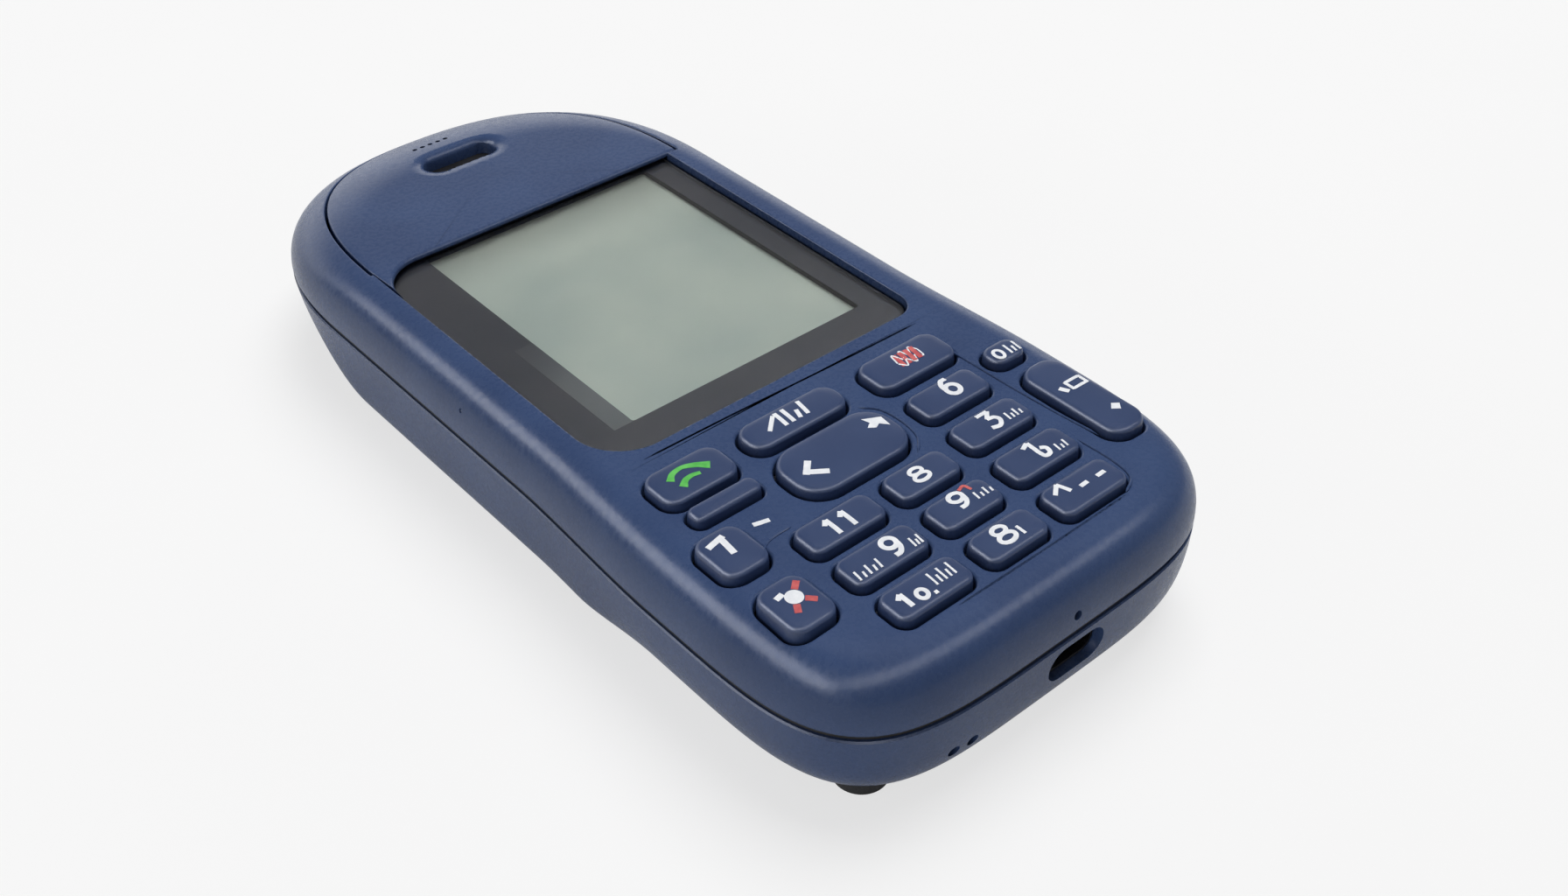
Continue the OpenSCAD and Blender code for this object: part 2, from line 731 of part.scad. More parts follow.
module motor_weight() {
    color([0.5, 0.5, 0.5]) along_motor(weight_x[0]) difference() {
        union() {
            intersection() {
                cylinder(h = weight_x[1] - weight_x[0], r = weight_r, $fn = 64);
                translate([0, -weight_r, 0]) cube([weight_r, 2 * weight_r, 10]);
            }
            cylinder(h = weight_x[1] - weight_x[0], r = shaft_r + 0.6, $fn = 48);
        }
        translate([0, 0, -1]) cylinder(h = 10, r = shaft_r + run_gap, $fn = 48);
    }
}

module motor_sleeve() {
    color([0.1, 0.1, 0.1]) difference() {
        block(motor_x + [sleeve_in, -sleeve_in], about(motor_y, sleeve_w / 2), [floor_z, board_z0]);
        along_motor(motor_x[0] - 1) cylinder(h = 20, r = motor_r + 0.05, $fn = 48);
    }
}

module charging_socket() {
    color("silver") difference() {
        union() {
            socket_tube(0, socket_y, socket_y + socket_l);
            for (s = [-1, 1])
                block(about(socket_x + s * (socket_w / 2 - 1.2), 0.6), from(socket_y + socket_l - 2, 2),
                    [socket_z, board_z0]);
        }
        socket_tube(-socket_t, socket_y - 1, socket_y + socket_l - 0.3);
    }
}

module socket_tongue() {
    back = socket_y + socket_l - 0.3;
    color([0.1, 0.1, 0.1]) union() {
        socket_tube(-socket_t - 0.05, back - 1.4, back);
        block(about(socket_x, socket_w / 2 - 1), [socket_y + 1, back - 1], about(socket_z, 0.3));
    }
}

module antenna() {
    z0 = rear_z;
    color("goldenrod") translate([0, half_l - 6.2 * ky, 0]) difference() {
        prism(round_rect(16 * kx, 3, 1), z0, z0 + 1.8);
        for (s = [-1, 1]) block(about(s * 4 * kx, 2), [-0.6, 3], from(z0 + 1, 2));
    }
}

module rubber_feet() {
    color([0.08, 0.08, 0.09]) both_sides() translate([foot.x, foot.y, 0]) union() {
        cylinder(h = 0.4, r1 = foot_r - 0.4, r2 = foot_r, $fn = 48);
        translate([0, 0, 0.4]) cylinder(h = rear_z - rear_d + foot_sunk - 0.4, r = foot_r, $fn = 48);
    }
}

module screw(p, seat, tip) {
    translate([p.x, p.y, seat]) difference() {
        union() {
            translate([0, 0, -head_h]) cylinder(h = head_h, r = head_r, $fn = 48);
            cylinder(h = tip - seat, r = screw_r, $fn = 32);
        }
        translate([0, 0, -head_h]) for (a = [0, 90]) rotate(a) cube([1.8, 0.35, 0.8], center = true);
    }
}

module housing_screws() {
    color("silver") both_sides() {
        screw(low_screw, low_seat_z, post_z + 2.2);
        screw(up_screw, up_seat_z, post_z + 2.2);
    }
}

// Key: a cap with eased top edges, and tabs that keep it under the face
module key_cap(k) {
    w = k[3];
    l = k[4];
    ease = min(0.8, 0.16 * min(w, l));
    rows = [[key_z0, 0], [face_z + 0.3, 0],
        [key_z1 - 0.4, 0.15 * ease], [key_z1 - 0.12, 0.45 * ease], [key_z1, ease]];
    color(key_navy) key_at(k) union() {
        loft([for (q = rows) at_height(round_rect(w - 2 * q[1], l - 2 * q[1], k[5] - q[1]), q[0])]);
        key_tabs(k, 0);
    }
}

front_housing();
rear_housing();
earpiece_panel();
display_window();
battery_cover();
lcd_panel();
lcd_frame();
main_board();
shield_can();
dome_sheet();
keypad_mat();
battery();
battery_contacts();
sim_holder();
earpiece_speaker();
earpiece_mesh();
loudspeaker();
microphone();
vibration_motor();
motor_weight();
motor_sleeve();
charging_socket();
socket_tongue();
antenna();
rubber_feet();
housing_screws();
for (k = KEYS) key_cap(k);
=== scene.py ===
# %% [markdown]
# # A feature phone, dressed over its CAD frame
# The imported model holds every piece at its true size, and every joint. This lesson gives the pieces the
# looks of the real object: moulded shells, printed keys and a tinted window over a grey-green display.

import bpy
import numpy as np
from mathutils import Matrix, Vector


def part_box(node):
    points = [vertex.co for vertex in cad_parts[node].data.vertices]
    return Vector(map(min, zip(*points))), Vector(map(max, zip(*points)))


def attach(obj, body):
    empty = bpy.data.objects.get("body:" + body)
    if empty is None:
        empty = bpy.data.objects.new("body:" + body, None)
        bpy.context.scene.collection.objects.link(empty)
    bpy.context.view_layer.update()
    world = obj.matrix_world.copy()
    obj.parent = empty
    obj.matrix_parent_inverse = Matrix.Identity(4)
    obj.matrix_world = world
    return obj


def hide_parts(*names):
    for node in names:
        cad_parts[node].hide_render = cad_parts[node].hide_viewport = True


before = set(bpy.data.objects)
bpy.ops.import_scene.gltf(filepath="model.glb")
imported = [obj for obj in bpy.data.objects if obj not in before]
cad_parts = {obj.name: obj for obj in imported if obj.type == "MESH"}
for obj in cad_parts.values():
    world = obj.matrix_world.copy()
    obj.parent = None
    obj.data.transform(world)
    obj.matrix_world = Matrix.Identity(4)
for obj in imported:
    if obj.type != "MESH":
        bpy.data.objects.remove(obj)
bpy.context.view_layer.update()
MM = 0.001

# %% [markdown]
# ## Closed grids
# A moulded shell is a stack of outlines, so most pieces are closed grids: one parameter runs round the
# outline, the other from the underside over the edge to the top. They could be pulled out of a box by hand,
# but a formula keeps every radius exact. Sizes are in millimetres and become metres in the mesh.

# %% Surfaces from stacked loops
def closed_grid(rings, low_pole=None, high_pole=None):
    """Points and faces of a closed form through rings of equal count, lowest first.

    Each ring joins the next with quads. A pole closes an end with a fan; without one, a flat face does.
    """
    n = len(rings[0])
    points = np.concatenate(rings)
    j = np.arange(n)
    k = (j + 1) % n
    faces = []
    for i in range(len(rings) - 1):
        a = i * n
        faces += np.stack([a + j, a + k, a + n + k, a + n + j], 1).tolist()
    last = (len(rings) - 1) * n
    for pole, ring, flip in ((low_pole, 0, True), (high_pole, last, False)):
        if pole is None:
            face = (ring + j).tolist()
            faces.append(face[::-1] if flip else face)
            continue
        tip = len(points)
        points = np.vstack([points, pole])
        fan = np.stack([ring + j, ring + k, np.full(n, tip)], 1)
        faces += (fan[:, ::-1] if flip else fan).tolist()
    return points, faces


def lifted(loop, z):
    """A flat loop at one height, or at a height for each point."""
    return np.c_[loop, np.broadcast_to(z, len(loop))]


def prism(loop, z0, z1):
    """The loop carried straight up from z0 to z1."""
    return closed_grid([lifted(loop, z0), lifted(loop, z1)])


def along_y(form):
    """A form drawn upright, laid down so that its height runs along +Y and its own +Y points up."""
    points, faces = form
    x, y, z = points.T
    return np.c_[x, z, y], [f[::-1] for f in faces]


def joined(*forms):
    """Several forms as one list of points and faces."""
    points, faces, start = [], [], 0
    for p, f in forms:
        points.append(p)
        faces += [[i + start for i in face] for face in f]
        start += len(p)
    return np.concatenate(points), faces


print("closed grids ready")

# %% [markdown]
# ## Outlines
# Seen from above, keys, plates and openings are round rectangles and circles. Their points run
# counter-clockwise, so the next outline of a soft edge is the same one grown along its normals.

# %% Outlines
def arc(first, last, count):
    """Angles in radians, from first to last in degrees."""
    return np.radians(np.linspace(first, last, count))


def round_rect(w, l, r, middle=(0, 0), steps=8):
    """Rectangle with round corners, counter-clockwise: four quarter circles of radius r."""
    r = min(r, w / 2 - 1e-3, l / 2 - 1e-3)
    a = arc(0, 90, steps + 1)
    corners = ((1, -1, 270), (1, 1, 0), (-1, 1, 90), (-1, -1, 180))
    parts = [np.c_[sx * (w / 2 - r) + r * np.cos(a + np.radians(t)),
                   sy * (l / 2 - r) + r * np.sin(a + np.radians(t))] for sx, sy, t in corners]
    return np.concatenate(parts) + np.asarray(middle)


def outward(loop):
    """Unit normals of a counter-clockwise loop, each square to the line between its two neighbours."""
    ahead = np.roll(loop, -1, axis=0) - np.roll(loop, 1, axis=0)
    return np.c_[ahead[:, 1], -ahead[:, 0]] / np.linalg.norm(ahead, axis=1)[:, None]


def grown(loop, more):
    """The loop moved out along its normals."""
    return loop + outward(loop) * more


def circle(r, middle=(0, 0), steps=32):
    """Points at equal angles on a circle."""
    a = np.linspace(0, 2 * np.pi, steps, endpoint=False)
    return np.c_[r * np.cos(a), r * np.sin(a)] + np.asarray(middle)


print("outlines ready")

# %% [markdown]
# ## From surface to piece
# A mesh takes its points and faces from whole arrays. Openings could be left out of a grid by hand, but a
# Boolean difference cuts them cleanly whatever they cross, so each is a closed cutter. A finished piece
# rides on its CAD body.

# %% Meshes and pieces
CREASE = 35


def new_object(name, form):
    """A mesh object at the origin from points in millimetres, with smooth faces."""
    points, faces = form
    mesh = bpy.data.meshes.new(name)
    mesh.from_pydata((points * MM).tolist(), [], faces)
    mesh.shade_smooth()
    obj = bpy.data.objects.new(name, mesh)
    bpy.context.scene.collection.objects.link(obj)
    return obj


def carve(name, solid, cutters):
    """The solid with each cutter taken out of it, as a form again."""
    body = new_object(name, solid)
    tools = [new_object("cutter", c) for c in cutters]
    for tool in tools:
        cut = body.modifiers.new("carve", "BOOLEAN")
        cut.solver, cut.operation, cut.object = "MANIFOLD", "DIFFERENCE", tool
    bpy.context.view_layer.update()
    made = body.evaluated_get(bpy.context.evaluated_depsgraph_get()).to_mesh()
    points = np.empty(len(made.vertices) * 3)
    made.vertices.foreach_get("co", points)
    form = points.reshape(-1, 3) / MM, [list(p.vertices) for p in made.polygons]
    for obj in [body, *tools]:
        mesh = obj.data
        bpy.data.objects.remove(obj)
        bpy.data.meshes.remove(mesh)
    return form


def piece(name, form, material, stands_for=(), body="phone"):
    """A finished piece: its mesh, its material, the body it rides on and the node that it stands for."""
    obj = new_object(name, form)
    obj.data.set_sharp_from_angle(angle=np.radians(CREASE))
    obj.data.materials.append(material)
    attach(obj, body)
    if stands_for:
        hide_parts(*stands_for)
    return obj


print("surface tools ready")

# %% [markdown]
# ## Tools for materials
# Each finish is a small node tree. Patterns read object coordinates in metres, so a scale of 2500 is a
# grain of 0.4 mm. Colours are given as screen colours and turned into light values by one function.

# %% Materials from nodes
# A Mix node's two inputs and its output, by their places, for colours and for numbers.
MIX_COLOUR, MIX_NUMBER = (6, 7, 2), (2, 3, 0)


def light(hex_colour):
    """Linear light values of a screen colour such as #3a4a74."""
    c = np.array([int(hex_colour[i:i + 2], 16) / 255 for i in (1, 3, 5)])
    return (*np.where(c <= 0.04045, c / 12.92, ((c + 0.055) / 1.055) ** 2.4), 1.0)


def add(tree, kind, inputs, **settings):
    """Adds a shader node, sets its options, and fills its sockets with values or links."""
    node = tree.nodes.new("ShaderNode" + kind)
    for key, value in settings.items():
        setattr(node, key, value)
    for key, value in inputs.items():
        if isinstance(value, bpy.types.NodeSocket):
            tree.links.new(value, node.inputs[key])
        else:
            node.inputs[key].default_value = value
    return node


def ramp(tree, value, low, high, dark, bright):
    """A value between low and high turned into a blend of two colours or numbers."""
    colour = isinstance(dark, tuple)
    part = add(tree, "MapRange", {"Value": value, "From Min": low, "From Max": high})
    mix = add(tree, "Mix", {"Factor": part.outputs[0]}, data_type="RGBA" if colour else "FLOAT")
    a, b, out = MIX_COLOUR if colour else MIX_NUMBER
    mix.inputs[a].default_value, mix.inputs[b].default_value = dark, bright
    return mix.outputs[out]


def finish_of(name, dark, bright, rough=(0.4, 0.5), patch=4, grain=0.4, depth=0.004, **sockets):
    """A moulded or cast material: two shades in soft patches, a fine grain in relief and in roughness.

    patch and grain are sizes in millimetres, and depth is the relief's height.
    """
    material = bpy.data.materials.new(name)
    material.use_nodes = True
    tree = material.node_tree
    shader = tree.nodes["Principled BSDF"]
    place = add(tree, "TexCoord", {}).outputs["Object"]
    broad = add(tree, "TexNoise", {"Vector": place, "Scale": 1000 / patch, "Detail": 3.0}).outputs["Fac"]
    fine = add(tree, "TexNoise", {"Vector": place, "Scale": 1000 / grain, "Detail": 2.0}).outputs["Fac"]
    tree.links.new(ramp(tree, broad, 0.35, 0.65, light(dark), light(bright)), shader.inputs["Base Color"])
    tree.links.new(ramp(tree, fine, 0.3, 0.7, rough[0], rough[1]), shader.inputs["Roughness"])
    relief = add(tree, "Bump", {"Height": fine, "Strength": 1.0, "Distance": depth * MM})
    tree.links.new(relief.outputs["Normal"], shader.inputs["Normal"])
    for key, value in sockets.items():
        shader.inputs[key.replace("_", " ")].default_value = value
    return material


print("material tools ready")

# %% [markdown]
# ## Marks over a finish
# Dust, a painted highlight on the key rims, painted shade on the display and a painted reflection beside it
# lie over the plain finish. Each is a share from 0 to 1 that blends one more colour over what is there, so
# they can be stacked.

# %% Specks and tones
def laid_over(material, share, colour):
    """Blends a colour over a finish by a share at each point."""
    tree = material.node_tree
    base = tree.nodes["Principled BSDF"].inputs["Base Color"]
    mix = add(tree, "Mix", {"Factor": share}, data_type="RGBA")
    under, over, out = MIX_COLOUR
    tree.links.new(base.links[0].from_socket, mix.inputs[under])
    mix.inputs[over].default_value = light(colour)
    tree.links.new(mix.outputs[out], base)


def specks(material, colour, spacing, size, share=0.14):
    """Sparse grains on a finish: the cores of scattered cells, of which only a share is kept."""
    tree = material.node_tree
    place = add(tree, "TexCoord", {}).outputs["Object"]
    cells = add(tree, "TexVoronoi", {"Vector": place, "Scale": 1000 / spacing})
    core = add(tree, "Math", {0: cells.outputs["Distance"], 1: size / spacing}, operation="LESS_THAN")
    pick = add(tree, "SeparateColor", {"Color": cells.outputs["Color"]})
    few = add(tree, "Math", {0: pick.outputs[0], 1: 1 - share}, operation="GREATER_THAN")
    both = add(tree, "Math", {0: core.outputs[0], 1: few.outputs[0]}, operation="MULTIPLY")
    soft = add(tree, "Math", {0: both.outputs[0], 1: pick.outputs[1]}, operation="MULTIPLY")
    laid_over(material, soft.outputs[0], colour)


def toned(material, axis, span, colour, strength=1.0):
    """Blends a colour in along an axis: it comes in over the first two marks and goes over the last two."""
    tree = material.node_tree
    place = add(tree, "TexCoord", {}).outputs["Object"]
    along = add(tree, "SeparateXYZ", {"Vector": place}).outputs[axis]
    rise, fall = (add(tree, "MapRange", {"Value": along, "From Min": a * MM, "From Max": b * MM,
                                         "To Max": strength}, interpolation_type="SMOOTHSTEP")
                  for a, b in (span[:2], span[:1:-1]))
    both = add(tree, "Math", {0: rise.outputs[0], 1: fall.outputs[0]}, operation="MINIMUM")
    laid_over(material, both.outputs[0], colour)


print("marks ready")

# %% [markdown]
# ## Finishes that show
# The shells and keys are moulded plastic, the window is clear acrylic with ink behind it, and the signs are
# pad prints. Gloss and grain set the plastics apart more than colour does, because a textured mould breaks
# up the highlights that a smooth one keeps.

# %% Main finishes
# Textured shell plastic: a spark-eroded mould leaves a fine orange peel that breaks the highlight up.
shell_plastic = finish_of("navy_plastic_spark_eroded", "#34466b", "#394c72", rough=(0.22, 0.34), patch=9,
                          grain=0.5, depth=0.011, IOR=1.46, Specular_IOR_Level=0.3)
# Key plastic: darker, with a finer grain, and a paler band round each rim that is a painted highlight.
key_plastic = finish_of("navy_plastic_satin_keys", "#2c3d62", "#314267", rough=(0.3, 0.4), patch=5,
                        grain=0.3, depth=0.004, IOR=1.5)
# Painted highlight: a paler band where each cap's rim rounds over.
toned(key_plastic, "Z", (15.95, 16.15, 16.25, 16.42), "#5d6c90", 0.35)
# Window print: charcoal ink behind the clear pane, with a few grains of dust.
window_ink = finish_of("charcoal_window_ink", "#292b35", "#2e303a", rough=(0.3, 0.36), patch=12, grain=0.6,
                       depth=0.0005)
specks(window_ink, "#c9ccd2", 2.6, 0.09)
# Paler strip: window ink beside the display, growing paler towards the keys as a painted reflection.
strip_ink_and_reflection = finish_of("window_strip_painted_reflection_ink", "#30323b", "#34363f", rough=(0.3, 0.36), patch=8, grain=0.6,
                      depth=0.0005)
# Painted reflection: the strip turns paler grey towards the keys.
toned(strip_ink_and_reflection, "Y", (9, -6, -40, -41), "#63686a")
# Clear pane: cast acrylic, so smooth and pale that the ink and the display show through it.
clear_acrylic = finish_of("clear_acrylic_pane", "#f4f6f8", "#ffffff", rough=(0.02, 0.05), patch=15, grain=2,
                          depth=0.0002, IOR=1.49, Transmission_Weight=1.0)
# Display: a reflective liquid crystal cell, grey-green, with painted shade near its top edge under the
# earpiece panel's lip.
display_cell = finish_of("reflective_display_cell", "#bac6ba", "#becabe", rough=(0.35, 0.45), patch=16,
                         grain=0.3, depth=0.0006)
# Painted shade: darker over the last ten millimetres, under the panel's lip.
toned(display_cell, "Y", (17, 27, 90, 91), "#868c83", 0.8)
specks(display_cell, "#e8ece6", 5, 0.1)
# Pad prints: a thin film of ink, a little rough at its edge.
INKS = {tone: finish_of(tone + "_pad_print", dark, bright, rough=(0.45, 0.55), patch=0.8, grain=0.15,
                        depth=0.002)
        for tone, dark, bright in (("white", "#e4e7ec", "#f2f4f7"), ("green", "#49ad46", "#63c25b"),
                                   ("red", "#b5474c", "#cc6462"))}
# Black rubber and foam, dull: real on the feet and the motor's sleeve, and painted shade where the same
# black fills the parting groove, the seam round the pane and the well round the display.
gap_shade_and_rubber = finish_of("rubber_and_painted_gap_shade", "#0c0c0e", "#17171a", rough=(0.6, 0.8), patch=1.5,
                         grain=0.2, depth=0.01)
print("main finishes:", len(bpy.data.materials))

# %% [markdown]
# ## The phone's outline
# Seen from above the keypad end is nearly square and the earpiece end is a broad arch, so each end is a
# superellipse with its own exponent. Points at equal steps along it keep the mesh even round the corners.

# %% Outline of the body
HALF_L, LOW_W, UP_W = 52.0, 49.0, 47.4
ARCH_Y, ARCH_L, ARCH_POWER = 26, 26, 2.45
HEEL_Y, HEEL_L, HEEL_POWER = -27, 25, 4.4


def smooth(t):
    """Rises from 0 to 1 with flat ends."""
    c = np.clip(t, 0, 1)
    return c * c * (3 - 2 * c)


def half_w(y):
    """Half the width along the body: a superellipse at each end and sides that flare to the keypad."""
    up = np.clip((y - ARCH_Y) / ARCH_L, 0, 1)
    low = np.clip((HEEL_Y - y) / HEEL_L, 0, 1)
    side = (UP_W + (LOW_W - UP_W) * smooth((-6 - y) / 21)) / 2
    arch = UP_W / 2 * (1 - up ** ARCH_POWER) ** (1 / ARCH_POWER)
    heel = LOW_W / 2 * (1 - low ** HEEL_POWER) ** (1 / HEEL_POWER)
    return np.where(y > ARCH_Y, arch, np.where(y < HEEL_Y, heel, side))


def outline(count):
    """The body's outline as count points at equal steps, counter-clockwise from the keypad end's middle."""
    a = np.linspace(0, np.pi / 2, 3000)
    low = np.c_[LOW_W / 2 * np.sin(a) ** (2 / HEEL_POWER),
                HEEL_Y - HEEL_L * np.cos(a) ** (2 / HEEL_POWER)]
    side_y = np.linspace(HEEL_Y, ARCH_Y, 600)[1:-1]
    up = np.c_[UP_W / 2 * np.cos(a) ** (2 / ARCH_POWER),
               ARCH_Y + ARCH_L * np.sin(a) ** (2 / ARCH_POWER)]
    half = np.concatenate([low, np.c_[half_w(side_y), side_y], up])
    run = np.concatenate([[0], np.cumsum(np.linalg.norm(np.diff(half, axis=0), axis=1))])
    at = np.linspace(0, run[-1], count // 2 + 1)
    right = np.c_[np.interp(at, run, half[:, 0]), np.interp(at, run, half[:, 1])]
    return np.concatenate([right, right[-2:0:-1] * [-1, 1]])


LOOP = outline(360)


def drawn_in(dx, d0, d1):
    """The outline narrowed by dx a side, shortened by d0 at the keypad end and d1 at the earpiece end."""
    x, y = LOOP.T
    return np.c_[x * (1 - 2 * dx / LOW_W),
                 -HALF_L + d0 + (y + HALF_L) * (2 * HALF_L - d0 - d1) / (2 * HALF_L)]


def inset(by):
    """The outline drawn in by the same amount all round."""
    return drawn_in(by, by, by)


print("outline of", len(LOOP), "points")

# %% [markdown]
# ## Face and belly
# The face rises from the parting line like a quarter ellipse, and the belly falls from it in the same way,
# deeper under the display than under the earpiece. Both are rings of the outline, one for each angle, so
# the shells, their hollows and the openings share two formulas.

# %% Face and belly
PART_Z, FACE_Z, REAR_Z = 9.5, 15.5, 9.3
SIDE_INSET, END_INSET, SIDE_POWER = 4.7, 12.0, 2.5
QUARTER = np.radians(np.append(np.linspace(0, 85, 18), [87, 88.5, 90]))


def shoulder(rise):
    """Inset of the face at a share of its height: a superellipse at the sides and the keypad end, and an
    ellipse at the earpiece end."""
    return (SIDE_INSET * (1 - (1 - rise ** SIDE_POWER) ** (1 / SIDE_POWER)),
            END_INSET * (1 - np.sqrt(1 - rise ** 2)))


def front_ring(a, wall=0.0):
    """One ring of the front shell: raised as sin a and drawn in by the shoulder's curve."""
    side, end = (wall + d * (1 - wall / d_all)
                 for d, d_all in zip(shoulder(np.sin(a)), (SIDE_INSET, END_INSET)))
    return lifted(drawn_in(side, side, end), PART_Z + (FACE_Z - PART_Z - wall) * np.sin(a))


def front_height(x, y):
    """Height of the face over a point, from the ring that passes through it, found by halving its angle."""
    low, high = np.zeros(len(x)), np.full(len(x), np.pi / 2)
    for _ in range(30):
        a = (low + high) / 2
        side, end = shoulder(np.sin(a))
        x0 = np.abs(x) / (1 - 2 * side / LOW_W)
        y0 = -HALF_L + (y + HALF_L - side) * 2 * HALF_L / (2 * HALF_L - side - end)
        inside = (np.abs(y0) < HALF_L) & (x0 < half_w(y0))
        low, high = np.where(inside, a, low), np.where(inside, high, a)
    return PART_Z + (FACE_Z - PART_Z) * np.sin(low)


def rear_depth(y):
    """Depth of the belly along the body: 1.5 mm at the earpiece end and 7.9 mm under the display."""
    return 1.5 + 6.4 * smooth((46 - y) / 22)


def rear_ring(a, wall=0.0, floor=0.0):
    """One ring of the rear shell: tucked in as 1 - cos a and lowered as sin a."""
    c = 1 - np.cos(a)
    x, y = drawn_in(wall, wall + 2.6 * c ** 1.5, wall + 6 * c).T
    tuck = np.maximum(0.2, 0.7 + 1.8 * smooth((-14 - y) / 12) - wall / 2)
    z = REAR_Z - (rear_depth(y) - floor) * np.sin(a)
    return np.c_[x * (1 - 2 * tuck * c / LOW_W), y, z]


def stacked(rings):
    """A closed form through symmetric rings, with ends of strips across the body, so they may curve."""
    points, faces = closed_grid(rings)
    n = len(rings[0])
    k = np.arange(1, n // 2 - 1)
    strips = [[0, 1, n - 1], [n // 2 - 1, n // 2, n // 2 + 1]]
    strips += np.stack([k, k + 1, n - k - 1, n - k], 1).tolist()
    last = (len(rings) - 1) * n
    faces = faces[:-2] + [s[::-1] for s in strips] + [[i + last for i in s] for s in strips]
    return points, faces


print("face at", FACE_Z, "mm, belly", rear_depth(np.array(0.0)), "mm deep in the middle")

# %% [markdown]
# ## Keys
# Nineteen caps of pad-printed plastic stand a millimetre above the face on a rubber mat. Each is a round
# rectangle with eased top edges and a slight crown, whose rim catches a thin light, with a painted
# highlight laid along it.

# %% Key caps
# Each row: the middle's place across and its distance from the keypad end, then width, length and corner.
KEYS = {
    "call_key": (-15.3, 30.5, 8.2, 4.9, 1.7), "clear_key": (-15.1, 26.2, 7.4, 2.2, 0.9),
    "left_upper_key": (-18.8, 20.8, 4.9, 5.8, 1.6), "left_lower_key": (-18.8, 12.8, 5.0, 6.0, 1.6),
    "soft_left_key": (-3.4, 30.8, 11.4, 4.0, 1.8), "navigation_key": (-3.2, 24.35, 12.8, 7.0, 3.0),
    "soft_right_key": (10.3, 30.2, 9.8, 4.8, 1.6), "side_round_key": (18.2, 25.3, 4.2, 3.0, 1.4),
    "side_rocker": (18.7, 15.85, 4.8, 12.5, 2.0),
}
for row in range(3):
    KEYS[f"number_key_left_{3 - row}"] = (-9.8, 7.3 + 5.1 * row, 8.4, 3.8, 1.2)
    KEYS[f"number_key_mid_{3 - row}"] = (-0.3, 7.3 + 5.1 * row, 7.2, 3.8, 1.2)
for row in range(4):
    KEYS[f"number_key_right_{4 - row}"] = (9.1 + 0.2 * row, 7.3 + 5.6 * row, 8.2, 4.0, 1.2)
KEY_LOW, KEY_TOP, CROWN, DRAFT = 13.4, 16.42, 0.12, 0.06


def key_crown(name, x, y):
    """Height of a key's top: its rim, raised towards the middle as a product of two parabolas."""
    kx, d, w, l, _ = KEYS[name]
    u, v = (x - kx) / (w / 2), (y + HALF_L - d) / (l / 2)
    return KEY_TOP + CROWN * np.clip(1 - u * u, 0, 1) * np.clip(1 - v * v, 0, 1)


def key_loop(name, more):
    """A key's outline, grown by more."""
    kx, d, w, l, r = KEYS[name]
    return round_rect(w + 2 * more, l + 2 * more, r + more, (kx, d - HALF_L), 10)


def key_cap(name):
    """A cap: straight walls, a quarter-round edge of growing inset, then shrinking rings up the crown."""
    kx, d, w, l, _ = KEYS[name]
    edge = min(0.55, 0.3 * l)
    rings = [lifted(key_loop(name, 0), KEY_LOW), lifted(key_loop(name, 0), FACE_Z - 0.2)]
    for t in arc(0, 80, 9):
        loop = key_loop(name, -DRAFT - edge * (1 - np.cos(t)))
        rings.append(lifted(loop, key_crown(name, *loop.T) - edge * (1 - np.sin(t))))
    rim = key_loop(name, -DRAFT - edge)
    middle = np.array([kx, d - HALF_L])
    for s in (0.85, 0.65, 0.42, 0.2):
        loop = middle + (rim - middle) * s
        rings.append(lifted(loop, key_crown(name, *loop.T)))
    return closed_grid(rings, high_pole=[*middle, KEY_TOP + CROWN])


for name in KEYS:
    piece(name + "_cap", key_cap(name), key_plastic, [name], name)
print("key caps:", len(KEYS))

# %% [markdown]
# ## Ribbons of ink
# Pad printing lays a film of ink on each cap. A texture could show it, but here every stroke is a ribbon
# that lies on the key's crown, so the signs stay sharp at any size and move with their keys.

# %% Ribbons of ink
INK_UNDER, INK_OVER = 0.05, 0.02


def through(points, count=40):
    """A smooth path through a few points, by cubic steps between them."""
    points = np.asarray(points, float)
    t = np.linspace(0, len(points) - 1, count)
    slope = np.gradient(points, axis=0)
    i = np.minimum(t.astype(int), len(points) - 2)
    f = (t - i)[:, None]
    h = f * f * (3 - 2 * f)
    return (points[i] * (1 - h) + points[i + 1] * h
            + slope[i] * f * (1 - f) ** 2 - slope[i + 1] * f * f * (1 - f))


def band(path, width, height, ring=False):
    """A ribbon along a path: a rectangle across each point, from just under the face to just over it.

    width is one number or one for each point, height gives the face over x and y, and a ring has no ends.
    """
    ahead = np.roll(path, -1, axis=0) - np.roll(path, 1, axis=0) if ring else np.gradient(path, axis=0)
    left = np.c_[-ahead[:, 1], ahead[:, 0]] / np.linalg.norm(ahead, axis=1)[:, None]
    left *= np.broadcast_to(width, len(path))[:, None] / 2
    a, b = path - left, path + left
    za, zb = height(*a.T), height(*b.T)
    rings = np.stack([lifted(a, za - INK_UNDER), lifted(b, zb - INK_UNDER),
                      lifted(b, zb + INK_OVER), lifted(a, za + INK_OVER)], 1)
    if not ring:
        return closed_grid(list(rings))
    i, j = np.meshgrid(np.arange(len(path)), np.arange(4), indexing="ij")
    i1, j1 = (i + 1) % len(path), (j + 1) % 4
    faces = np.stack([i * 4 + j, i * 4 + j1, i1 * 4 + j1, i1 * 4 + j], -1)
    return rings.reshape(-1, 3), faces.reshape(-1, 4).tolist()


def patch(loop, height):
    """A filled sign: its outline from just under the face to just over it, closed by a fan on top."""
    z, middle = height(*loop.T), loop.mean(0)
    return closed_grid([lifted(loop, z - INK_UNDER), lifted(loop, z + INK_OVER)],
                       high_pole=[*middle, height(*middle[:, None])[0] + INK_OVER])


print("ribbons ready")

# %% [markdown]
# ## Figures
# The numbers are plain strokes drawn in a box of one by one, and the smaller signs are short dashes. A
# figure is then fitted into its own box on a key.

# %% Figures and strokes
RING_POINTS, STROKE_POINTS = 36, 30


def oval(x, y, rx, ry):
    """A ring of points on an ellipse."""
    return circle(1, steps=RING_POINTS) * [rx, ry] + [x, y]


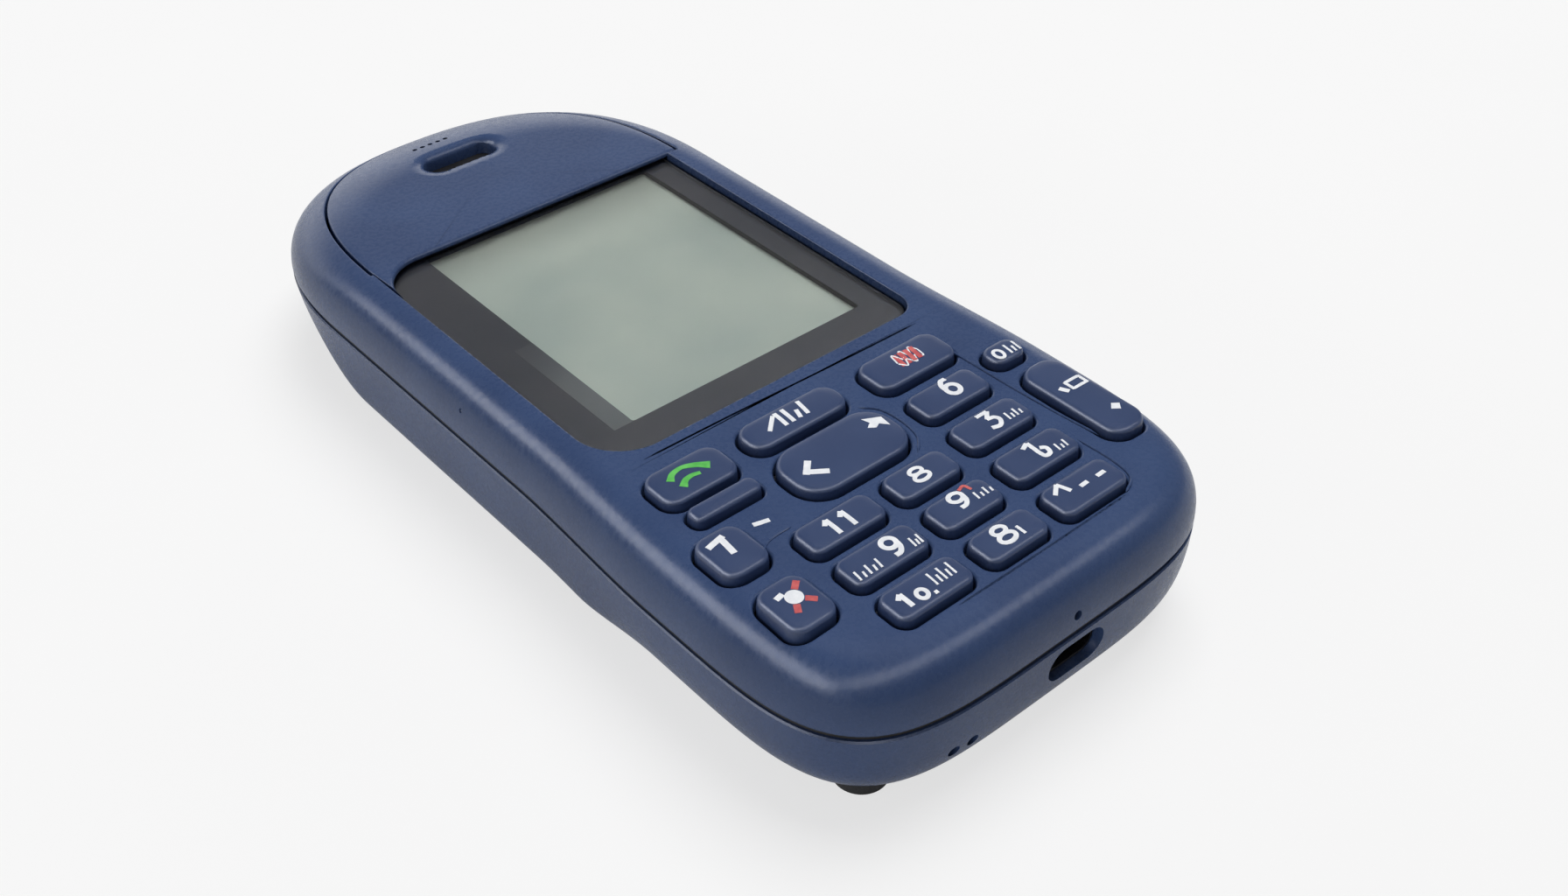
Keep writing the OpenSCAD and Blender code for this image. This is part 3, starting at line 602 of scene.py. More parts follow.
FIGURES = {
    "0": [oval(0.5, 0.5, 0.46, 0.5)],
    "1": [through([(0.1, 0.72), (0.6, 1)], 6), through([(0.6, 1), (0.6, 0)], 6)],
    "3": [through([(0.05, 0.98), (0.92, 0.98)], 6), through([(0.92, 0.98), (0.4, 0.6)], 6),
          through([(0.36, 0.6), (0.84, 0.52), (0.97, 0.27), (0.62, 0.02), (0.06, 0.1)])],
    "6": [oval(0.5, 0.3, 0.44, 0.3), through([(0.07, 0.34), (0.16, 0.7), (0.46, 0.94), (0.84, 0.96)])],
    "8": [oval(0.5, 0.76, 0.38, 0.24), oval(0.5, 0.26, 0.47, 0.26)],
    "9": [oval(0.5, 0.7, 0.44, 0.3), through([(0.93, 0.66), (0.84, 0.3), (0.54, 0.06), (0.16, 0.04)])],
    "hook": [through([(0, 0.84), (0.5, 1)], 6), through([(0.5, 1), (0.42, 0.34)], 6),
             through([(0.42, 0.4), (0.5, 0.06), (0.86, 0.06), (0.98, 0.34), (0.72, 0.5)])],
}


def figure(name, x0, x1, y0, y1, pen=0.46):
    """A figure's strokes fitted into a box, with the pen's width kept inside it."""
    size, corner = np.array([x1 - x0 - pen, y1 - y0 - pen]), np.array([x0 + pen / 2, y0 + pen / 2])
    return [(path * size + corner, pen, len(path) == RING_POINTS) for path in FIGURES[name]]


def dashes(x0, x1, y0, y1, count, pen=0.2):
    """A row of short upright dashes, each second one shorter."""
    x = np.linspace(x0, x1, count)
    top = np.where(np.arange(count) % 2, y0 + (y1 - y0) * 0.6, y1)
    return [(through([(a, y0), (a + 0.12, b)], 4), pen, False) for a, b in zip(x, top)]


def strokes(pen, *paths):
    """Free strokes through their points."""
    return [(through(points, 4 if len(points) == 2 else STROKE_POINTS), pen, False) for points in paths]


def brush(marks, widths):
    """A pen whose width changes along a curved stroke, given at a few of its points."""
    return np.interp(np.arange(STROKE_POINTS), marks, widths)


print("figures:", ", ".join(FIGURES))

# %% [markdown]
# ## Printed legends
# Each legend belongs to one key and one ink and becomes one piece that rides on that key. The second table
# holds the filled signs. Each stroke is raised a little over the one before, so no two faces share a plane.

# %% Legends on the keys
LEGENDS = {
    "call_key green":
        strokes(brush([0, 4, 14, 24, 29], [0.75, 0.6, 0.5, 0.7, 0.95]),
                [(-17.4, -21.35), (-16.7, -20.7), (-15.6, -20.5), (-14.5, -20.95), (-13.4, -21.8)])
        + strokes(brush([0, 6, 29], [0.8, 0.6, 0.4]),
                  [(-16.95, -22.6), (-16.3, -22.05), (-15.5, -21.92), (-14.7, -22.1)]),
    "soft_left_key white":
        strokes(0.42, [(-6.5, -21.7), (-4.9, -20.2)],
                *[[(-4.75 + 0.85 * i, -22.05), (-4.6 + 0.85 * i, -20)] for i in range(2)],
                [(-3.1, -22), (-2.75, -20.9)], [(-2.2, -22), (-1.85, -20)]),
    "soft_right_key red":
        strokes(0.5, *[[(9.3 + 0.7 * i, -22.6), (9.55 + 0.7 * i, -20.7)] for i in range(4)]),
    "soft_right_key white":
        strokes(0.16, [(9, -21.9), (9.4, -20.6), (9.9, -21.8), (10.4, -20.5), (10.8, -21.8),
                       (11.5, -20.6), (12, -21.4)],
                [(9, -22), (9.6, -22.7), (10.1, -21.9), (10.7, -22.8), (11.2, -21.9),
                 (11.8, -22.5), (12, -21.4)]),
    "navigation_key white":
        strokes(0.62, [(-8, -28.25), (-6.7, -26.95)], [(-8, -27.85), (-6.15, -29.2)]),
    "number_key_right_1 white": figure("6", 9.13, 11.18, -28.94, -26.04, 0.5),
    "number_key_right_2 white":
        figure("3", 8.38, 10.38, -34.74, -32.04, 0.44) + dashes(10.9, 12.4, -34.5, -33.5, 4),
    "number_key_right_3 white":
        figure("hook", 8.28, 10.48, -40.34, -37.54, 0.44) + dashes(11, 12, -40.3, -39.4, 3),
    "number_key_right_4 white":
        strokes(0.42, [(6.1, -44.1), (7.2, -43.2)], [(7.15, -43.2), (7.55, -44.6)],
                [(8.55, -44.75), (9.5, -44.7)], [(10.65, -44.75), (11.7, -44.7)]),
    "number_key_left_1 white":
        figure("1", -11.6, -10.1, -35.94, -33.44) + figure("1", -9.9, -8.4, -35.94, -33.44),
    "number_key_left_2 white":
        figure("9", -9.72, -7.72, -40.94, -38.3, 0.48) + dashes(-13.3, -11, -40.9, -39.8, 5)
        + dashes(-7.2, -6.4, -40.9, -39.8, 3),
    "number_key_left_3 white":
        figure("1", -13.1, -11.6, -45.94, -43.84) + figure("0", -11.5, -10.1, -45.94, -44.5, 0.4)
        + strokes(0.36, [(-9.95, -45.8), (-9.6, -45.8)]) + dashes(-9.1, -7, -45.3, -43.8, 5),
    "number_key_mid_1 white": figure("8", -1.72, 0.38, -35.6, -33.5, 0.4),
    "number_key_mid_2 white":
        figure("9", -1.52, 0.48, -40.34, -38, 0.44) + dashes(0.95, 2.6, -40.2, -39.3, 4),
    "number_key_mid_2 red": strokes(0.3, [(0.35, -38.3), (1.1, -38.1), (1.3, -38.9)]),
    "number_key_mid_3 white":
        figure("8", -1.92, 0.3, -45.84, -43.34, 0.44) + strokes(0.3, [(0.68, -44.6), (0.7, -45.7)]),
    "left_upper_key white":
        strokes(0.6, [(-20.3, -30), (-18.4, -29.6)], [(-18.75, -29.6), (-19, -31.85)]),
    "left_lower_key white": strokes(0.55, [(-20, -38.15), (-19.2, -38)]),
    "left_lower_key red":
        strokes(0.6, [(-17.3, -37.5), (-18.1, -38.2)], [(-17.4, -40.2), (-18.1, -39.5)],
                [(-19.6, -40.4), (-19.1, -39.6)]),
    "side_round_key white":
        figure("0", 16.6, 17.9, -27.8, -26.2, 0.34) + dashes(18.4, 19.5, -27.7, -26.3, 3, 0.24),
    "side_rocker white":
        strokes(0.5, [(17.5, -34.3), (17.9, -35.2)])
        + strokes(0.34, [(18.5, -34.1), (20.3, -34.1)], [(20.3, -34), (20.3, -35.3)],
                  [(20.4, -35.2), (18.5, -35.2)], [(18.5, -35.3), (18.5, -34)]),
}
PATCHES = {
    "navigation_key white":
        np.array([(0.35, -27.05), (1, -27.5), (1.6, -27.2), (2.25, -27.95), (2.4, -26.6), (0.75, -25.75),
                  (1, -26.6)]),
    "left_lower_key white": circle(0.8, (-18.7, -38.85), 28),
    "side_rocker white": np.array([(18.8, -39.4), (19.5, -39.95), (20.05, -39.3), (19.4, -38.85)]),
}
STROKE_LIFT, PATCH_LIFT = 0.002, 0.01
for label, lines in LEGENDS.items():
    key, ink = label.split()
    forms = [band(path, pen, lambda x, y: key_crown(key, x, y) + STROKE_LIFT * i, ring)
             for i, (path, pen, ring) in enumerate(lines)]
    if label in PATCHES:
        forms.append(patch(PATCHES[label], lambda x, y: key_crown(key, x, y) + PATCH_LIFT))
    piece(f"{key}_{ink}_print", joined(*forms), INKS[ink], body=key)
print("legends:", len(LEGENDS))

# %% [markdown]
# ## Openings in the face
# The mould maker rounds every opening's rim, so each cutter flares at the face: its loop grows along a
# quarter circle that follows the face's height. A bevel after the cut would stumble where openings lie
# close together.

# %% Cutters for the face
SEAM = 0.28
FLARE = arc(0, 78, 6)


def flared(loop_of, gap, rim, bottom):
    """A cutter with straight walls that opens out along a quarter circle of radius rim at the face."""
    rings = [lifted(loop_of(gap), bottom)]
    for t in FLARE:
        loop = loop_of(gap + rim * (1 - np.cos(t)))
        rings.append(lifted(loop, front_height(*loop.T) - rim * (1 - np.sin(t))))
    top = loop_of(gap + rim * (1 - np.cos(FLARE[-1])) + 1e-3)
    return closed_grid(rings + [lifted(top, FACE_Z + 2)])


def window_loop(more):
    """The window's outline, grown by more: one large corner by the call key and a small one opposite."""
    x0, x1, y0, y1 = -19.1 - more, 17.9 + more, -15.0 - more, 26.3 + more
    parts = []
    for cx, cy, r, t in ((x1, y0, 2.2, 270), (x1, y1, 0.3, 0), (x0, y1, 0.3, 90), (x0, y0, 5.0, 180)):
        r += more
        a = arc(t, t + 90, 13)
        sx, sy = (-1 if cx > 0 else 1), (-1 if cy > 0 else 1)
        parts.append(np.c_[cx + sx * r + r * np.cos(a), cy + sy * r + r * np.sin(a)])
    return np.concatenate(parts)


def panel_outline(lip_x, lip_y):
    """The earpiece panel's outline: the body's arch at 0.83 of its width, closed by a line at lip_y."""
    arch = drawn_in(0, 0, 3) * [0.83, 1]
    right = arch[:len(arch) // 2 + 1]
    right = right[right[:, 1] > 25.2]
    line = np.linspace(-lip_x, lip_x, 81)
    return np.concatenate([np.c_[line, np.full(81, lip_y)], right, right[-2::-1] * [-1, 1]])


def tube(path, r, steps=10):
    """A round bead along a path on the face, with a point at each end."""
    ahead = np.gradient(path, axis=0)
    ahead /= np.linalg.norm(ahead, axis=1)[:, None]
    side = np.c_[ahead[:, 1], -ahead[:, 0]]
    a = np.linspace(0, 2 * np.pi, steps, endpoint=False)
    z = front_height(*path.T)
    taper = np.clip(np.minimum(np.arange(len(path)), np.arange(len(path))[::-1]) / 3, 0.15, 1) * r
    rings = [np.c_[p[0] + s[0] * q * np.cos(a), p[1] + s[1] * q * np.cos(a), h + q * np.sin(a)]
             for p, s, q, h in zip(path, side, taper, z)]
    return closed_grid(rings, low_pole=[*path[0], z[0]], high_pole=[*path[-1], z[-1]])


PANEL_BED = panel_outline(19.66, 24.8)
print("window opening", np.ptp(window_loop(0), axis=0), "mm")

# %% [markdown]
# ## Front shell
# The front shell is moulded in one piece with its key openings, the sunken place for the window and the bed
# of the earpiece panel. Two grooves and four low beads part the groups of keys, and a black ring in the
# groove between the shells is painted shade that keeps the groove dark.

# %% Front shell
FRONT_WALL, KEY_GAP, KEY_RIM, RIM = 1.4, 0.25, 0.3, 0.2
PIT_R, PIT_Z = 0.24, 12.75
foot = lifted(inset(0.14), PART_Z + 0.26)
outer = stacked([foot, front_ring(0.06)] + [front_ring(a) for a in QUARTER[1:]])
inner = stacked([lifted(inset(FRONT_WALL), PART_Z - 1)] + [front_ring(a, FRONT_WALL) for a in QUARTER])
cutters = [
    inner,
    *[flared(lambda more, k=name: key_loop(k, more), KEY_GAP, KEY_RIM, KEY_LOW - 1) for name in KEYS],
    flared(window_loop, SEAM, RIM, 12.0),
    flared(lambda more: grown(PANEL_BED, more), 0.0, RIM, 10.5),
    along_y(prism(circle(0.45, (1, 11.4)), -54, -49)),
    closed_grid([lifted(circle(PIT_R * np.sin(t), (-23.3, 3.2), 12), PIT_Z - PIT_R * np.cos(t))
                 for t in arc(15, 165, 8)]),
    tube(through([(-16.6, -16.5), (-6, -16.7), (6, -17.1), (15.9, -17.3)], 60), 0.11),
    tube(through([(-9, -47.35), (2, -47.4), (12, -47.3)], 50), 0.11),
]
shell = carve("front", outer, cutters)
beads = [
    tube(through([(15.2, -22.5), (15.3, -26), (15.4, -30.6), (15.7, -36), (16.1, -40.4)], 60), 0.14),
    tube(through([(14.2, -39.6), (14.3, -43.6), (13.7, -46.1), (11.9, -47.1)], 50), 0.14),
    tube(through([(2.6, -23.4), (3.9, -25.0), (4.2, -27.6), (3.7, -30.0), (2.2, -31.6)], 50), 0.14),
    tube(through([(-16.4, -32.4), (-15.4, -31.8), (-14.2, -31.6), (-12.6, -31.6)], 40), 0.12),
]
piece("front_shell", joined(shell, *beads), shell_plastic, ["front_housing"])
# Painted shade: a black ring that fills the parting groove between the shells.
groove_shade = carve("groove_shade", prism(inset(0.32), 9.11, 9.75), [prism(inset(0.9), 9, 10)])
piece("parting_groove_shade", groove_shade, gap_shade_and_rubber)
dash = band(through([(-14.95, -29.35), (-13.45, -29.75)], 4), 0.5, front_height)
piece("deck_dash_print", dash, INKS["white"])
print("front shell cut by", len(cutters), "cutters")

# %% [markdown]
# ## Earpiece panel
# A separate moulding closes the earpiece end. It carries on the face's own curve, so its top is the same
# height function, and its near edge rolls over into a soft lip above the window.

# %% Earpiece panel
PANEL_EDGE = 0.2


def panel_form():
    """The face's height over shrinking copies of the panel's loop.

    Near the rim a copy is inset as 1 - cos t and lowered as 1 - sin t, so the edge is a quarter round.
    The inset is taken as a share of each point's distance from the middle.
    """
    loop = grown(panel_outline(19.38, 19.6), -SEAM)
    middle = np.array([0.0, 34.0])
    away = loop - middle
    share = PANEL_EDGE / (away * outward(loop)).sum(1)
    rings = [lifted(loop, 12.4)]
    for t in arc(0, 90, 6):
        flat = middle + away * (1 - share * (1 - np.cos(t)))[:, None]
        rings.append(lifted(flat, np.maximum(front_height(*flat.T) - PANEL_EDGE * (1 - np.sin(t)), 13.5)))
    for s in np.linspace(0.97, 0.03, 30):
        ring = middle + (flat - middle) * s
        rings.append(lifted(ring, front_height(*ring.T)))
    return closed_grid(rings, high_pole=[*middle, FACE_Z])


def lip_loop(more):
    """What the panel leaves open over the window: round at the upper left, open to the right and below."""
    a = arc(90, 180, 17)
    r = 4.6 + more
    corner = np.c_[-14.5 + r * np.cos(a), 20.2 + r * np.sin(a)]
    top = np.c_[np.linspace(30, -14, 60), np.full(60, 24.8 + more)]
    return np.concatenate([top, corner, [[-19.1 - more, 12], [30, 12]]])


EAR = (0.5, 40.0)
# The slot's basin: how far its outline grows at each height.
BASIN = ((-1.0, 14.2), (-0.3, 14.4), (0.0, 14.9), (0.3, 15.25), (0.9, 15.42), (1.6, 15.52), (1.7, 17))
basin = [lifted(round_rect(9 + 2 * g, 3.6 + 2 * g, 1.75 + g, EAR, 12), z) for g, z in BASIN]
panel_cuts = [prism(round_rect(50, 12, 0.2, (0, 21.65)), 11, 15.0), flared(lip_loop, 0.0, 0.45, 10)]
panel_cuts += [closed_grid(basin), prism(round_rect(8.6, 3.2, 1.2, EAR, 12), 11, 16)]
panel_cuts += [prism(circle(0.3, (x, 44.6), 16), 11, 17) for x in (-2.5, -1.5, -0.5, 0.5, 1.5)]
panel_cuts += [prism(circle(0.22, (x, 38.0), 12), 14, 17) for x in (-2.5, -1.5, -0.5, 0.5, 1.5, 2.5)]
panel = carve("panel", panel_form(), panel_cuts)
piece("earpiece_fascia", panel, shell_plastic, ["earpiece_panel"])
print("earpiece panel with", len(panel_cuts), "cuts")

# %% [markdown]
# ## Window and display
# A clear acrylic pane carries charcoal ink on its back, with an opening left for the picture. The display
# cell lies a little deeper, so the ink's edge throws a soft shade on it at the far sides.

# %% Window and display
def plate(loop_of, z0, z1, edge):
    """A flat plate with a quarter-round upper edge, and one more ring that keeps its top flat."""
    rings = [lifted(loop_of(0), z0)]
    for t in arc(0, 90, 5):
        rings.append(lifted(loop_of(-edge * (1 - np.cos(t))), z1 - edge * (1 - np.sin(t))))
    return closed_grid(rings + [lifted(loop_of(-edge - 0.04), z1)])


def window_plan(x0, x1, y0, y1, r=0.3):
    """A round rectangle between its four sides."""
    return round_rect(x1 - x0, y1 - y0, r, ((x0 + x1) / 2, (y0 + y1) / 2))


VIEW_X0, VIEW_X1, VIEW_Y0 = -13.2, 15.0, -10.3
# The layers over the display, each from its underside to its top, and the height that cuts reach through.
WELL_SHADE_Z, INK_Z, STRIP_Z = (13.32, 13.88), (13.9, 13.94), (13.93, 13.955)
SEAM_SHADE_Z, PANE_Z, CUT_Z = (13.9, 14.68), (13.97, 14.7), (13, 15)
view = prism(window_plan(VIEW_X0, VIEW_X1, VIEW_Y0, 25.5), *CUT_Z)
ink = carve("ink", prism(window_loop(-0.12), *INK_Z), [view])
piece("window_ink", ink, window_ink)
# Painted shade: a black ring that fills the seam round the pane.
seam_shade = carve("seam_shade", prism(window_loop(-0.03), *SEAM_SHADE_Z), [prism(window_loop(-0.12), *CUT_Z)])
piece("window_seam_shade", seam_shade, gap_shade_and_rubber)
strip = prism(window_plan(-15.3, VIEW_X0, VIEW_Y0, 5.8, 0.1), *STRIP_Z)
piece("window_strip", strip, strip_ink_and_reflection)
pane_form = plate(lambda more: window_loop(more - 0.13), *PANE_Z, 0.04)
pane = piece("window_pane", pane_form, clear_acrylic, ["display_window"])
# Painted shade: a black frame under the ink, whose walls show in the display's well at the far sides and
# under the lip.
well = prism(window_plan(VIEW_X0, VIEW_X1, VIEW_Y0, 25.3), *CUT_Z)
well_shade = carve("well_shade", prism(window_loop(-0.4), *WELL_SHADE_Z), [well])
piece("display_well_shade", well_shade, gap_shade_and_rubber)
(cx0, cy0, cz0), (cx1, cy1, cz1) = (np.array(corner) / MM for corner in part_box("lcd_panel"))
cell = plate(lambda more: window_plan(cx0 - more, cx1 + more, cy0 - more, cy1 + more, 0.4 + more),
             cz0, cz1, 0.1)
piece("display_cell", cell, display_cell, ["lcd_panel"])
print("window and display placed, the display", round(cx1 - cx0, 1), "by", round(cy1 - cy0, 1), "mm")

# %% [markdown]
# ## Rear shell
# The rear shell is the deep half: a belly under the display that holds the battery, with the charging
# socket's mouth, two cord eyelets, the loudspeaker's sound holes, screw wells and the feet's recesses.

# %% Rear shell
REAR_WALL, REAR_FLOOR = 1.8, 1.2
BAY = (0, 5.95)
bay_hole = round_rect(36.6, 33.5, 0.6, BAY)
rear_ease = [rear_ring(0.0) - [0, 0, 0.34], lifted(inset(0.14), REAR_Z - 0.2)]
belly = stacked([rear_ring(a) for a in QUARTER[:0:-1]] + rear_ease)
hollow = stacked([rear_ring(a, REAR_WALL, REAR_FLOOR) for a in QUARTER[::-1]]
                 + [lifted(inset(REAR_WALL), 10.3)])
wells = [hollow, prism(bay_hole, -1, 6.8)]
for side in (-1, 1):
    wells += [prism(circle(1.55, (side * 17.6, -44.9)), -1, 4.1)]
    wells += [prism(circle(1.55, (side * 20.3, 21.5)), -1, 5.6)]
    wells += [prism(circle(2.6, (side * 17.2, -45.6), 48), -1, 2.0)]
    wells += [prism(round_rect(1.1, 18.3, 0.1, (side * 20.7, 2.0)), 0, 2.8)]
    wells += [along_y(prism(circle(0.6, (-11.4 + side, 4.3)), -54, -48))]
# The socket's mouth: how far its outline grows at each place along the body.
MOUTH = ((0.5, -52.6), (0.4, -51.5), (0.28, -51.1), (0.25, -50.6), (0.25, -44))
mouth = [lifted(round_rect(6 + 2 * g, 2.8 + 2 * g, 1.39 + g, (1.5, 6.5), 10), y) for g, y in MOUTH]
wells += [along_y(closed_grid(mouth))]
wells += [prism(circle(0.7, (-10 + r * np.cos(a), -30 + r * np.sin(a))), 0, 3.5)
          for r, a in [(0, 0)] + [(3, i * np.pi / 3) for i in range(6)]]
rear = carve("rear", belly, wells)
lip_out, lip_in = (drawn_in(t, t, t + 0.3) for t in (1.52, 2.42))
lip = carve("lip", prism(lip_out, 8.3, 10.5), [prism(lip_in, 7, 12)])
bay = carve("bay", prism(round_rect(38.6, 35.5, 1, BAY), 2.2, 7.6), [prism(bay_hole, 0, 6.8)])
piece("rear_shell", joined(rear, lip, bay), shell_plastic, ["rear_housing"])
print("rear shell with", len(wells), "wells and holes")

# %% [markdown]
# ## Battery cover
# The cover slides towards the keypad end and lifts away. The phone rests on its flat underside, and a patch
# of ridges is for the thumb. It is a stack of growing rings, and the last ones turn up along a quarter
# round, so the edge meets the rear shell softly.

# %% Battery cover
def cover_under(y):
    """The cover's underside: flat in the middle, rising as a line to one end, a parabola to the other."""
    return np.where(y < 8, 0.95 * (8 - y) / 22, np.where(y > 13, 1.25 * ((y - 13) / 11.7) ** 2, 0))


def dense(loop, step=0.8):
    """The loop with points added so that no side is longer than the step."""
    parts = []
    for a, b in zip(loop, np.roll(loop, -1, axis=0)):
        count = max(1, int(np.ceil(np.linalg.norm(b - a) / step)))
        parts.append(a + (b - a) * np.linspace(0, 1, count, endpoint=False)[:, None])
    return np.concatenate(parts)


COVER_TOP, RIDGE_STEP = 1.3, 1.6
middle = np.array([0, 5.35])
rim = dense(round_rect(45.9, 38.6, 5, middle, 16))
under = []
for s in np.linspace(0.04, 0.88, 24):
    ring = middle + (rim - middle) * s
    ridge = 0.25 * smooth((0.5 + 0.5 * np.sin(2 * np.pi * ring[:, 1] / RIDGE_STEP) - 0.4) / 0.3)
    ridge *= (np.abs(ring[:, 0]) < 9) & (ring[:, 1] < -3) & (ring[:, 1] > -10.6)
    under.append(lifted(ring, cover_under(ring[:, 1]) + ridge))
for t in arc(10, 90, 9):
    ring = middle + (rim - middle) * (1 - 0.11 * (1 - np.sin(t)))
    z = cover_under(ring[:, 1])
    under.append(lifted(ring, z + (COVER_TOP - z) * (1 - np.cos(t))))
under.append(lifted(rim, COVER_TOP + 0.03))
sheet = closed_grid(under, low_pole=[*middle, cover_under(middle[1])])
hooks = []
for side in (-1, 1):
    hook = np.array([[0, 0.9], [0.8, 0.9], [0.8, 2.9], [1.3, 2.9], [1.3, 3.5], [0, 3.5]])
    hook[:, 0] = side * (20.3 + hook[:, 0])
    hooks.append(along_y(closed_grid([lifted(hook[::side], y) for y in (5.0, 11.0)])))
cover = joined(sheet, *hooks)
piece("battery_cover_sheet", cover, shell_plastic, ["battery_cover"], "battery_cover")
print("battery cover of", len(under), "rings with", len(hooks), "hooks")

# %% [markdown]
# ## Pieces inside
# The solids inside keep their CAD shapes, and each gets the finish of what it is made from. They show when
# the cover slides off, through the sound holes and in the charging socket.

# %% Finishes inside
# Each row: its nodes, two shades, roughness, sizes of patch, grain and relief in millimetres, metal or not.
INNER = {
    # Bright, with the soft streaks of a press.
    "tinned_steel_pressed": ("shield_can sim_holder microphone vibration_motor housing_screws",
                             "#a9acb0", "#c0c2c5", (0.28, 0.45), 3, 0.25, 0.002, 1.0),
    # Nearly black, with a metal's glint.
    "black_nickel_plated_brass": ("charging_socket",
                                  "#1d1d20", "#2a2a2e", (0.35, 0.5), 1.5, 0.2, 0.002, 1.0),
    # Warm and shiny contact springs.
    "gold_flashed_bronze": ("battery_contacts", "#c79a3c", "#dcb65c", (0.2, 0.35), 1, 0.15, 0.001, 1.0),
    # Reddish strip, a little dulled by air.
    "copper_strip_stamped": ("antenna", "#a8643c", "#bd7a50", (0.3, 0.45), 2, 0.2, 0.002, 1.0),
    # Grey and grainy, as pressed powder is.
    "tungsten_sintered": ("motor_weight", "#55565a", "#6b6c70", (0.5, 0.65), 0.8, 0.12, 0.006, 1.0),
    # Milky, as it spreads the light.
    "white_polycarbonate_moulded": ("lcd_frame", "#c9c9c4", "#d6d6d1", (0.4, 0.5), 5, 0.3, 0.003, 0.0),
    # Dark green lacquer with bare pads of gold.
    "green_solder_mask": ("main_board", "#12391f", "#184a28", (0.3, 0.4), 2.5, 0.4, 0.004, 0.0),
    # Silvery film with a faint sheen.
    "polyester_dome_film": ("dome_sheet", "#a7abb3", "#b9bdc4", (0.25, 0.4), 4, 0.5, 0.004, 0.0),
    # Matt grey with hardly a highlight.
    "grey_silicone_rubber": ("keypad_mat", "#5c5f68", "#686b74", (0.55, 0.7), 3, 0.25, 0.006, 0.0),
    # Dark shrunk film, a little wavy.
    "battery_wrap_film": ("battery", "#3c3d41", "#46474c", (0.35, 0.5), 6, 0.5, 0.004, 0.0),
    # Dull black of small moulded parts.
    "black_polyamide_moulded": ("earpiece_speaker earpiece_mesh loudspeaker socket_tongue",
                                "#101012", "#1a1a1d", (0.45, 0.6), 2, 0.2, 0.005, 0.0),
}
worn = dict.fromkeys(("motor_sleeve", "rubber_feet"), gap_shade_and_rubber)
for name, (nodes, *row, metal) in INNER.items():
    worn |= dict.fromkeys(nodes.split(), finish_of(name, *row, Metallic=metal))
specks(worn["main_board"], "#c8a34e", 2.2, 0.4, 0.4)
for node, finish in worn.items():
    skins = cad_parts[node].data.materials
    skins.clear()
    skins.append(finish)
print("inner pieces finished:", len(worn))

# %% [markdown]
# ## Camera
# The photograph was taken from the front left, about forty degrees up. The camera's place and lens were
# found by fitting the phone's outline and its keys.

# %% Camera
camera = bpy.data.objects.new("camera", bpy.data.cameras.new("camera"))
bpy.context.scene.collection.objects.link(camera)
eye, aim = Vector((-82.6, -111.1, 110.7)) * MM, Vector((4.937, -10.45, 1.5)) * MM
camera.location = eye
camera.rotation_euler = (aim - eye).to_track_quat("-Z", "Y").to_euler()
camera.data.lens, camera.data.sensor_width = 39.03, 36
camera.data.clip_start = 0.005
bpy.context.scene.camera = camera
bpy.context.scene.view_settings.view_transform = "Standard"
print("camera", round((aim - eye).length / MM), "mm from its aim")

# %% [markdown]
# ## Floor and backdrop
# The phone lies on a white table before a white backdrop. Enough light to burn them out would spoil its
# colours, so they turn towards white only where the camera or a mirror looks, and the table keeps a share
# of its own shading for the shadow.

# %% Floor and world
def by_ray(tree, plain, to_eye, to_mirror):
    """A level for each kind of ray: plain for lighting, and more where the camera or a mirror looks."""
    path = add(tree, "LightPath", {}).outputs
    seen = add(tree, "Math", {0: path["Is Glossy Ray"], 1: path["Is Transmission Ray"]},
               operation="MAXIMUM")
    level = add(tree, "Math", {0: seen.outputs[0], 1: to_mirror, 2: plain}, operation="MULTIPLY_ADD")
    level = add(tree, "Math", {0: path["Is Camera Ray"], 1: to_eye, 2: level.outputs[0]},
                operation="MULTIPLY_ADD")
    return level.outputs[0]


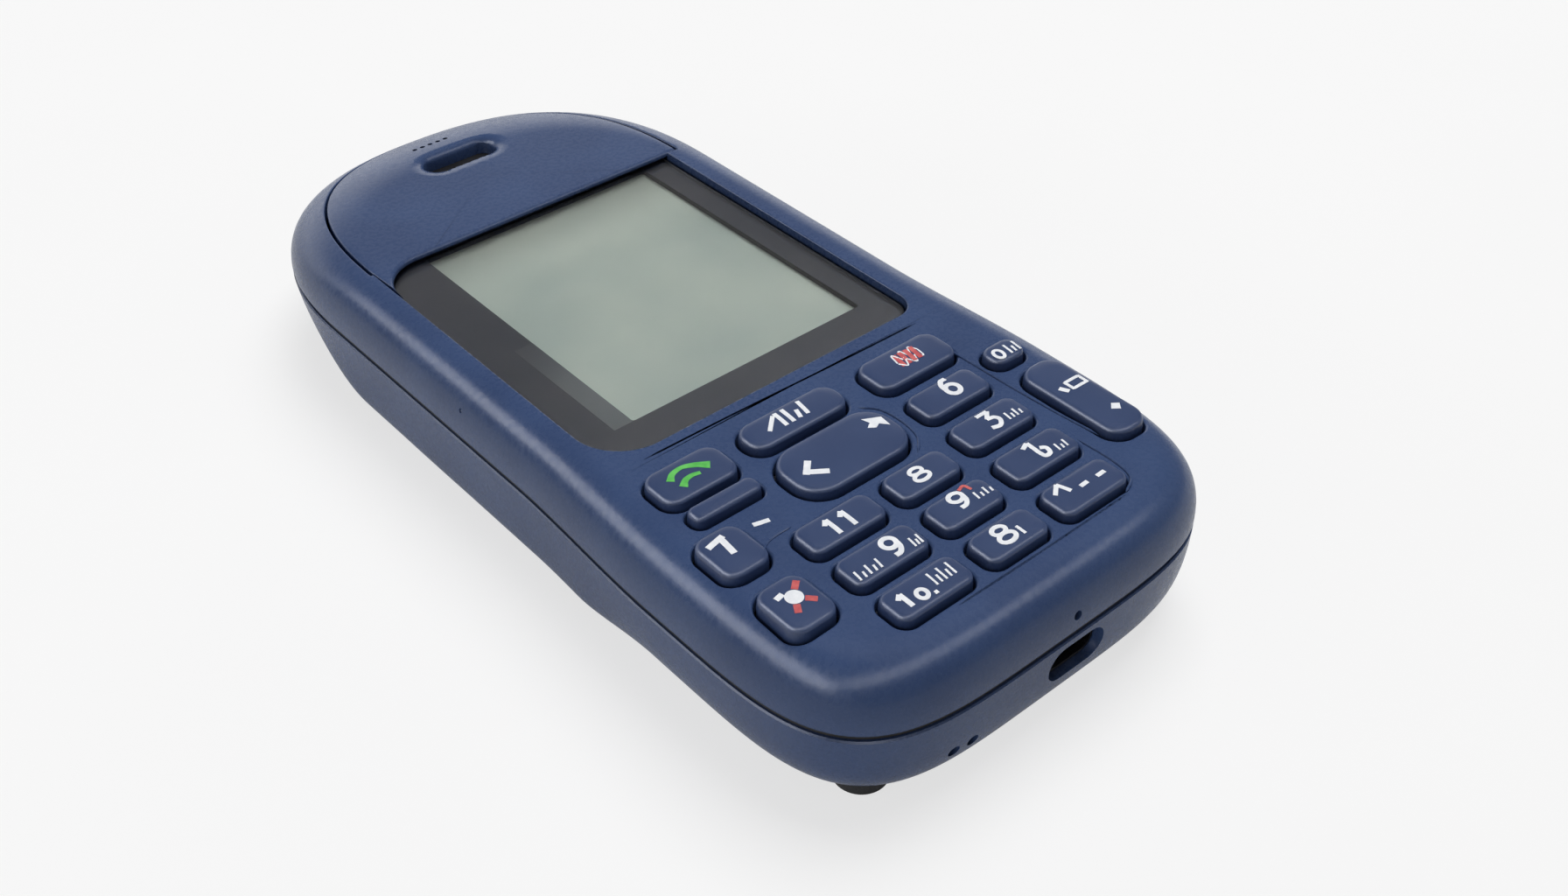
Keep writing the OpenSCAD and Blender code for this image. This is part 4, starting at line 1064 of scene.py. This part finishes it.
# White table: a smooth laminate, hardly shiny.
table = finish_of("white_table", "#e0e0e0", "#e3e3e3", rough=(0.6, 0.7), patch=60, grain=2, depth=0.001)
tree = table.node_tree
white = add(tree, "Emission", {"Color": (1, 1, 1, 1), "Strength": 1.0})
blend = add(tree, "MixShader", {0: by_ray(tree, plain=0.0, to_eye=0.7, to_mirror=0.3),
                                1: tree.nodes["Principled BSDF"].outputs[0], 2: white.outputs[0]})
tree.links.new(blend.outputs[0], tree.nodes["Material Output"].inputs["Surface"])
FLOOR = 900
corners = np.array([[-FLOOR, -FLOOR, 0], [FLOOR, -FLOOR, 0], [FLOOR, FLOOR, 0], [-FLOOR, FLOOR, 0.0]])
floor = new_object("floor", (corners, [[0, 1, 2, 3]]))
floor.data.materials.append(table)
world = bpy.data.worlds.new("studio")
bpy.context.scene.world = world
world.use_nodes = True
sky = world.node_tree.nodes["Background"]
sky.inputs["Color"].default_value = (1, 1, 1, 1)
level = by_ray(world.node_tree, plain=0.11, to_eye=0.83, to_mirror=0.11)
world.node_tree.links.new(level, sky.inputs["Strength"])
print("floor", 2 * FLOOR, "mm wide")

# %% [markdown]
# ## Light
# A softbox above and a low white card at the left light the colours. Bright panels at the left, in front
# and behind show as highlights alone, so they draw the long lights on the satin plastic and leave the
# colours as they are. They leave out the pane, so that the display stays clear from every side.

# %% Lamps
# Each row: its place and aim in millimetres, its size in metres, its power, and whether it only shows.
LAMPS = {
    "softbox_above": ((420, 200, 1080), (0, 0, 0), (0.8, 0.8), 14.2, False),
    "card_left": ((-420, -60, 110), (0, 0, 8), (0.7, 0.16), 0.6, False),
    "strip_left": ((-420, 110, 300), (-20, 0, 10), (0.8, 0.24), 4.5, True),
    "strip_front": ((20, -320, 450), (0, -45, 10), (0.95, 0.18), 2.3, True),
    "screen_back": ((250, 800, 180), (0, 0, 40), (1.8, 0.4), 2.8, True),
}
left_out = bpy.data.collections.new("pane_left_out")
left_out.objects.link(pane)
left_out.collection_objects[0].light_linking.link_state = "EXCLUDE"
for name, (at, to, size, watts, shows) in LAMPS.items():
    lamp = bpy.data.lights.new(name, "AREA")
    lamp.shape, lamp.size, lamp.size_y, lamp.energy = "RECTANGLE", *size, watts
    holder = bpy.data.objects.new(name, lamp)
    holder.location = Vector(at) * MM
    holder.rotation_euler = (Vector(to) - Vector(at)).to_track_quat("-Z", "Y").to_euler()
    holder.visible_glossy, holder.visible_diffuse, holder.visible_transmission = shows, not shows, not shows
    if shows:
        holder.light_linking.receiver_collection = left_out
    bpy.context.scene.collection.objects.link(holder)
print("stage set with", len(LAMPS), "lamps")
